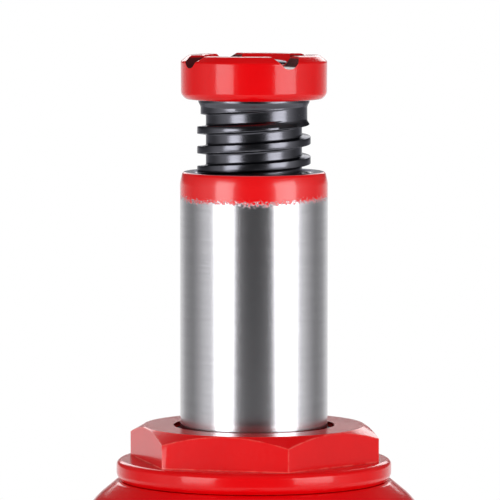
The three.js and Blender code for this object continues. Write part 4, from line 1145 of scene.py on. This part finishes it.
# %% [markdown]
# ## The linkage
#
# The socket takes the loose lever. It turns on the upper pin of two link plates and pushes the
# plunger through a second pin. The socket is a casting, so it gets the same even skin as the base
# before its bores are machined. The plates are stamped: flat bars with punched holes and
# rounded edges. Each pin has a head at one end and a spring clip in front of its other end.

# %% Link plates
plate_outline = bar_outline((LINK_Y, lower_pin.z, 8), (LINK_Y, fulcrum.z, 8), 28)
STRAIGHT = 3000  # millimetres: rings about so distant a centre are straight lines on a small plate
zinc_plates = tooled_metal(
    "zinc_link_plates", *ZINC, centre=(0, STRAIGHT, fulcrum.z), axis=ALONG_X, marks=1400.0,
    depth=0.000004,
)
for side, near, far in (("right", 7.4, 11.4), ("left", -11.4, -7.4)):
    plate = extruded("link_plate_stamped_" + side, plate_outline, near, far, IN_SIDE_PLANE)
    cut(
        plate,
        rod("hole", PIN_HOLE, -20, 20, ALONG_X, y=LINK_Y, z=lower_pin.z),
        rod("hole", PIN_HOLE, -20, 20, ALONG_X, y=LINK_Y, z=fulcrum.z),
    )
    break_edges(plate, 0.6, 3, 35)
    finish_piece(plate, "jack_body", "zinc", zinc_plates, "link_plate_" + side)

# %% Handle socket
plunger_pin_at = middle("plunger_pin")
PIN_Y, PIN_Z = plunger_pin_at.y, plunger_pin_at.z
TUBE_Z = PIN_Z + 8
cheek_outline = []
for k in range(25):
    a = -0.62 * math.pi * (1 - k / 24)
    cheek_outline.append((PIN_Y + 12 * math.cos(a), PIN_Z + 12 * math.sin(a)))
for out, up in ((-16, 2), (-16, 15), (-8, 20), (20, 20), (20, -6)):
    cheek_outline.append((PIN_Y - out, PIN_Z + up))
arm = bar_outline((LINK_Y, fulcrum.z, 9), (PIN_Y + 8, PIN_Z + 11, 8))
handle_socket = extruded("handle_socket_cast", cheek_outline, -12, 12, IN_SIDE_PLANE)
join(
    handle_socket,
    extruded("arm", arm, -6.9, 6.9, IN_SIDE_PLANE),
    rod("tube", 18.0, 12 - PIN_Y, 78 - PIN_Y, ALONG_FRONT, z=TUBE_Z, sides=96),
)
cut(handle_socket, rod("eye_way", 13.2, -6.3, 6.3, ALONG_X, y=PIN_Y, z=PIN_Z))
way_outline = [(-9, 0), (-9, -40)]
for swing in range(0, 45, 5):
    a = math.radians(swing)
    way_outline.append((9.5 * math.cos(a) + 40 * math.sin(a), 9.5 * math.sin(a) - 40 * math.cos(a)))
way_outline.append((9.5 * math.cos(a), 9.5 * math.sin(a)))
way_outline = [(PIN_Y + y, PIN_Z + z) for y, z in way_outline]
cut(handle_socket, extruded("stem_way", way_outline, -6.35, 6.35, IN_SIDE_PLANE))
cast_skin(handle_socket, 0.62, 6)
socket_bore = [(0, 20), (13.5, 20), (13.5, 77.2), (14.6, 78.3), (14.6, 99), (0, 99)]
socket_bore = [(radius, out - PIN_Y) for radius, out in socket_bore]
cut(
    handle_socket,
    as_object("socket_bore", turned(socket_bore, 96), axis_to(ALONG_FRONT, 0, 0, TUBE_Z)),
    rod("pin_hole", PIN_HOLE, -30, 30, ALONG_X, y=PIN_Y, z=PIN_Z),
    rod("pin_hole", PIN_HOLE, -30, 30, ALONG_X, y=LINK_Y, z=fulcrum.z),
)
handle_socket.data.shade_smooth()
handle_socket.data.set_sharp_from_angle(angle=SHARP)
finish_piece(handle_socket, "handle_socket", "red_paint", enamel_cast, "handle_socket")

# %% Pins and spring clips
on_fulcrum = {"centre": (0, LINK_Y, fulcrum.z), "axis": ALONG_X}
zinc_cross = tooled_metal("zinc_pins", *ZINC, marks=2600.0, **on_fulcrum)
black_cross = tooled_metal("black_oxide_clips", *BLACK, coat=0.3, **on_fulcrum)


def headed_pin(node, body, at):
    """A pin along X with a domed head, and an open spring clip before its other end."""
    low, high = reach(node)
    clip_low, clip_high = reach(node + "_clip")
    under = low.x + 3.0
    pin_profile = [
        (0, low.x), (4.6, low.x, 1.0), (6.9, low.x + 0.9, 0.9), (7.2, under, 0.3), (4.5, under, 0.1),
        (4.5, high.x, 0.7), (0, high.x),
    ]
    lay = axis_to(ALONG_X, 0, at.y, at.z)
    pin = lathed(node + "_turned", pin_profile, 64, lay)
    finish_piece(pin, body, "zinc", zinc_cross, node)
    ring = [(4.6, clip_low.x), (7.2, clip_low.x), (7.2, clip_high.x), (4.6, clip_high.x)]
    clip = as_object(node + "_spring_clip", turned(ring, 72), lay)
    gap = block("gap", (clip_low.x - 1, -2.6, -12), (clip_high.x + 1, 2.6, 0))
    gap.data.transform(Matrix.Translation((0, at.y * MM, at.z * MM)))
    cut(clip, gap)
    break_edges(clip, 0.18, 2, 35)
    finish_piece(clip, body, "black_oxide", black_cross, node + "_clip")


headed_pin("link_base_pin", "jack_body", lower_pin)
headed_pin("fulcrum_pin", "jack_body", fulcrum)
headed_pin("plunger_pin", "handle_socket", plunger_pin_at)

# %% [markdown]
# ## The valves at the foot
#
# Two bosses face forward: the release valve, turned with the slotted end of the lever, and the plug
# of the delivery valve. The relief valve's plug is on the left. All are small hexagons laid on
# their side, so the hexagon maker is used again with its axis turned.


# %% Plugs and the release valve
def side_plug(name, node, flats, height, spigot_radius, direction, centre, place, bore=0.0):
    """A hexagon plug with a spigot, its face against the casting."""
    low, high = reach(node)
    along_y = direction is ALONG_FRONT
    face, inner = (-MOUTH, -high.y) if along_y else (65.0, -high.x)
    plug = hexagon_head(name, flats, face + 0.1, face + height, place=place)
    spigot = [(0, inner), (spigot_radius, inner, 0.5), (spigot_radius, face + 1, 0), (0, face + 1)]
    join(plug, lathed("spigot", spigot, 48, place))
    if bore:
        cut(plug, as_object("bore", turned([(0, 60), (bore, 60), (bore, 150), (0, 150)], 48), place))
    break_edges(plug, 0.3, 2, 28)
    axis_centre = (centre.x, 0, centre.z) if along_y else (0, centre.y, centre.z)
    plated = tooled_metal("zinc_" + node, *ZINC, centre=axis_centre, axis=direction, marks=2600.0)
    return finish_piece(plug, "jack_body", "zinc", plated, node)


release_place = (ALONG_FRONT, release_centre, at_release)
side_plug("release_gland_hexagon", "release_gland_nut", 19, 7, 8, *release_place, bore=5.3)
side_plug("delivery_plug_hexagon", "delivery_plug", 17, 6, 6, ALONG_FRONT, delivery_centre, at_delivery)
side_plug("relief_plug_hexagon", "relief_plug", 15, 5, 5, LEFTWARD, relief_centre, at_relief)

stem_low, stem_high = reach("release_valve_stem")
TIP, HEAD = -stem_high.y, 122.0
stem_profile = [
    (0, TIP), (2.0, TIP, 0.3), (5.0, TIP + 3, 0.3), (5.0, 93.4, 0.1), (3.6, 93.4, 0.1), (3.6, 96.6, 0.1),
    (5.0, 96.6, 0.1), (5.0, HEAD, 0.2), (8.5, HEAD, 0.9), (8.5, -stem_low.y, 1.1), (0, -stem_low.y),
]
release_stem = lathed("release_valve_stem_turned", stem_profile, 72, at_release)
RX, RZ = release_centre.x, release_centre.z
cut(
    release_stem,
    block("flat_cutter", (RX + 4, -150, RZ - 20), (RX + 20, -HEAD - 3, RZ + 20)),
    block("flat_cutter", (RX - 20, -150, RZ - 20), (RX - 4, -HEAD - 3, RZ + 20)),
)
break_edges(release_stem, 0.4, 3, 35)
black_release = tooled_metal(
    "black_oxide_release", *BLACK, centre=(RX, 0, RZ), axis=ALONG_FRONT, coat=0.3
)
finish_piece(release_stem, "release_stem", "black_oxide", black_release, "release_valve_stem")

# %% [markdown]
# ## The carrying handle
#
# A bent wire hangs at the back from two ears, with a rubber sleeve to hold. The wire is a tube swept
# along its bent path. The path lies in one plane, so each ring of the tube needs no twist.
# The ears are bars whose roots are cut to the curve of the reservoir they are welded to.

# %% Ears
bail_low, bail_high = reach("carrying_bail")
BAIL_Y, BAIL_Z = (bail_low.y + bail_high.y) / 2, bail_high.z - 4.0
ear_outline = bar_outline((BAIL_Y, BAIL_Z, 9), (30.1, BAIL_Z, 10))
for side, near, far in (("right", 34.0, 38.0), ("left", -38.0, -34.0)):
    ear = extruded("bail_ear_welded_" + side, ear_outline, near, far, IN_SIDE_PLANE)
    cut(
        ear,
        rod("tube_side", 51.3, 0, 300, sides=256),
        rod("ear_hole", 4.4, -60, 60, ALONG_X, y=BAIL_Y, z=BAIL_Z),
    )
    break_edges(ear, 0.5, 3, 35)
    finish_piece(ear, "jack_body", "red_paint", enamel, "bail_ear_" + side)


# %% Bent wire and ribbed sleeve
def bent_path(corners, steps=10):
    """(x, z) points along a bent wire. Each corner is (x, z, bend)."""
    made = [corners[0][:2]]
    for back, here, on in zip(corners, corners[1:], corners[2:]):
        made.extend(ease_corner(Vector(back[:2]), Vector(here[:2]), Vector(on[:2]), here[2], steps))
    made.append(corners[-1][:2])
    return made


def bent_wire(name, path, radius, y, sides=28):
    shape = bmesh.new()
    rings = []
    points = [Vector(p) for p in path]
    for i, p in enumerate(points):
        ahead = (points[min(i + 1, len(points) - 1)] - points[max(i - 1, 0)]).normalized()
        across = Vector((-ahead.y, ahead.x))
        ring = []
        for k in range(sides):
            a = TURN * k / sides
            off = across * radius * math.cos(a)
            ring.append(shape.verts.new((p.x + off.x, y + radius * math.sin(a), p.y + off.y)))
        rings.append(ring)
    for low, high in zip(rings, rings[1:]):
        skin_between(shape, low, high)
    shape.faces.new(list(reversed(rings[0])))
    shape.faces.new(rings[-1])
    bmesh.ops.recalc_face_normals(shape, faces=shape.faces)
    return as_object(name, shape)


LOW_Z = BAIL_Z - 80
wire_corners = [
    (32, BAIL_Z, 0), (46, BAIL_Z, 6), (46, LOW_Z, 10),
    (-46, LOW_Z, 10), (-46, BAIL_Z, 6), (-32, BAIL_Z, 0),
]
bail = break_edges(bent_wire("carrying_bail_bent", bent_path(wire_corners), 4.0, BAIL_Y), 0.6, 2, 60)
black_wire = tooled_metal(
    "black_oxide_wire", *BLACK, centre=(0, BAIL_Y, LOW_Z), axis=ALONG_X, marks=700.0,
    worn=(0.3, 0.3, 0.32),
)
finish_piece(bail, "carrying_handle", "black_oxide", black_wire, "carrying_bail")

grip_low, grip_high = reach("bail_grip")
grip_profile = [(4.35, grip_low.x, 0.3), (6.2, grip_low.x, 0.7), (7.0, grip_low.x + 1.8, 0.6)]
RIBS = 11
for rib in range(RIBS):
    start = grip_low.x + 3.4 + rib * (grip_high.x - grip_low.x - 6.8) / RIBS
    for radius, ahead, ease in ((7.0, 0.6, 0.3), (6.35, 1.3, 0.4), (6.35, 3.2, 0.4), (7.0, 4.0, 0.3)):
        grip_profile.append((radius, start + ahead, ease))
grip_profile += [(7.0, grip_high.x - 1.8, 0.6), (6.2, grip_high.x, 0.7), (4.35, grip_high.x, 0.3)]
grip_place = axis_to(ALONG_X, 0, BAIL_Y, LOW_Z)
grip = lathed("bail_grip_ribbed", grip_profile, 72, grip_place, 0.3, 2)
finish_piece(grip, "carrying_handle", "rubber", rubber, "bail_grip")

# %% [markdown]
# ## The parts inside
#
# Seals, balls, springs and the pressure cylinder keep their CAD meshes. They show only through a
# bore or when something is taken apart, but each still gets the finish of its slot.

# %% Finish the parts that keep their CAD mesh
inside_finish = {
    "steel": tooled_metal("steel_inside", *STEEL),
    "zinc": tooled_metal("zinc_inside", *ZINC, marks=2600.0),
    "ground_steel": tooled_metal("ground_steel_inside", *GROUND, marks=5200.0),
    "copper": tooled_metal("copper_washers", *COPPER, marks=1500.0),
    "bronze": tooled_metal("bronze_inside", *BRONZE, marks=1200.0),
    "rubber": rubber,
    "nylon": nylon,
    "urethane": urethane,
}
slots_of = {row["node"]: row["material_slot"] for row in frame["record"]["subparts"]}
kept = []
for name, node in frame["nodes"].items():
    if node.hide_render:
        continue
    for holder in node.material_slots:
        holder.material = inside_finish[slots_of[name]]
    if not node.material_slots:
        print("no material slot on", name)
    kept.append(name)
print(len(kept), "parts keep their CAD mesh:", ", ".join(sorted(kept)))

# %% [markdown]
# ## Floor, room and lamps
#
# The studio is a pale floor, a white backdrop and three soft lamps: one on each side of the camera,
# and a high one at the back. Polished steel shows whatever stands round it. Bright lamps at the
# sides and a dark room behind the camera give the ram its light bands and its dark middle line.
# The room is darkened overhead and above the horizon at the back as well, or the flat tops of the
# parts would mirror it as white. The backdrop's own white is seen by the camera only: the metal
# sees the room's tones, and matt surfaces get one even grey fill.

# %% Floor that fades into the backdrop
FLOOR_RADIUS = 0.9
floor_shape = bmesh.new()
bmesh.ops.create_circle(floor_shape, cap_ends=True, radius=FLOOR_RADIUS / MM, segments=128)
floor = as_object("studio_floor", floor_shape, Matrix.Translation((0, 0, -0.4)))
floor_material, tree, shader = start_material("pale_floor", Roughness=0.6, Specular_IOR_Level=0.2)
shader["Base Color"].default_value = (0.86, 0.86, 0.86, 1)
spread = vectors(tree, "LENGTH", own_place(tree))
fade = ramp(tree, spread, 0.22, 0.80, smooth=True)
white = put(tree, "Emission", Color=(1, 1, 1, 1), Strength=1.0).outputs[0]
path = put(tree, "LightPath").outputs
seen = maths(tree, "MAXIMUM", path["Is Camera Ray"], path["Is Glossy Ray"])
seen = maths(tree, "MAXIMUM", seen, path["Is Transmission Ray"])
floor_mix = put(tree, "MixShader", maths(tree, "MULTIPLY", fade, seen))
tree.links.new(tree.nodes["Principled BSDF"].outputs[0], floor_mix.inputs[1])
tree.links.new(white, floor_mix.inputs[2])
tree.links.new(floor_mix.outputs[0], tree.nodes["Material Output"].inputs["Surface"])
floor.data.materials.append(floor_material)

# %% Room: a white backdrop, darker behind the camera
world = bpy.data.worlds.new("studio_room")
bpy.context.scene.world = world
world.use_nodes = True
tree = world.node_tree
sky = tree.nodes["Background"]
direction = put(tree, "SeparateXYZ", put(tree, "TexCoord").outputs["Generated"]).outputs
room = put(tree, "ValToRGB", maths(tree, "MULTIPLY_ADD", direction["Y"], 0.5, 0.5))
# (position, tone): position 0 is behind the camera, 0.5 at the sides, and 1 behind the jack
ROOM_TONES = [
    (0.00, 0.04), (0.05, 0.05), (0.10, 0.12), (0.30, 0.70), (0.42, 0.80), (0.56, 0.42), (0.68, 0.24),
    (0.84, 0.40), (0.95, 0.85), (1.00, 1.00),
]
stops = room.color_ramp.elements
while len(stops) < len(ROOM_TONES):
    stops.new(0.5)
for stop, (position, tone) in zip(stops, ROOM_TONES):
    stop.position = position
    stop.color = (tone, tone, tone, 1)
path = put(tree, "LightPath").outputs
FILL = 0.40
mirrored = maths(tree, "MAXIMUM", path["Is Glossy Ray"], path["Is Transmission Ray"])
kept_share = ramp(tree, direction["Z"], -0.01, 0.05, 1.0, 0.12)
behind = ramp(tree, direction["Y"], 0.2, 0.8)
lost = maths(tree, "MULTIPLY", behind, maths(tree, "SUBTRACT", 1.0, kept_share))
lost = maths(tree, "MAXIMUM", lost, ramp(tree, direction["Z"], 0.15, 0.5, 0.0, 0.8))
room_tone = scaled(tree, room.outputs[0], maths(tree, "SUBTRACT", 1.0, lost))
seen_tone = blend_colours(tree, mirrored, (FILL, FILL, FILL, 1), room_tone)
backdrop = blend_colours(tree, path["Is Camera Ray"], seen_tone, (1, 1, 1, 1))
feed(tree, sky.inputs["Color"], backdrop)
sky.inputs["Strength"].default_value = 1.0


# %% Soft lamps
def soft_lamp(name, bearing_deg, distance, width, height, centre_z, power):
    """A soft box facing the jack. Bearing 0 is towards the camera, and positive is to the right."""
    lamp = bpy.data.lights.new(name, "AREA")
    lamp.shape = "RECTANGLE"
    lamp.size, lamp.size_y = width, height
    lamp.energy = power
    made = bpy.data.objects.new(name, lamp)
    bpy.context.scene.collection.objects.link(made)
    bearing = math.radians(bearing_deg)
    made.location = (distance * math.sin(bearing), -distance * math.cos(bearing), centre_z)
    aim = Vector((0, 0, 0.2)) - made.location
    made.rotation_euler = aim.to_track_quat("-Z", "Y").to_euler()


soft_lamp("lamp_left", -47, 1.5, 0.80, 0.85, 0.42, 10.7)
soft_lamp("lamp_right", 51, 1.5, 0.98, 0.85, 0.42, 12.3)
soft_lamp("lamp_back", 180, 1.6, 1.2, 0.9, 0.95, 8)

# %% [markdown]
# ## Camera
#
# The jack is seen from a step away and slightly above, through a long lens that keeps its verticals
# upright. The frame shows only the top: saddle, screw, ram, nut and the reservoir's shoulder.

# %% Camera on the upper half
DISTANCE, FIELD, EYE_Z_ABOVE, LOOK_Z, SIDE = 1500.0, 152.0, 384.0, 269.6, -1.2
camera_data = bpy.data.cameras.new("camera")
camera_data.sensor_width = 36.0
camera_data.lens = 36.0 * DISTANCE / FIELD
camera_data.clip_start, camera_data.clip_end = 0.05, 60.0
camera = bpy.data.objects.new("camera", camera_data)
bpy.context.scene.collection.objects.link(camera)
camera.location = (SIDE * MM, -DISTANCE * MM, EYE_Z_ABOVE * MM)
camera.rotation_euler = (math.atan2(DISTANCE, EYE_Z_ABOVE - LOOK_Z), 0.0, 0.0)
bpy.context.scene.camera = camera
bpy.context.scene.view_settings.view_transform = "Standard"
print("lens", round(camera_data.lens, 1), "mm")
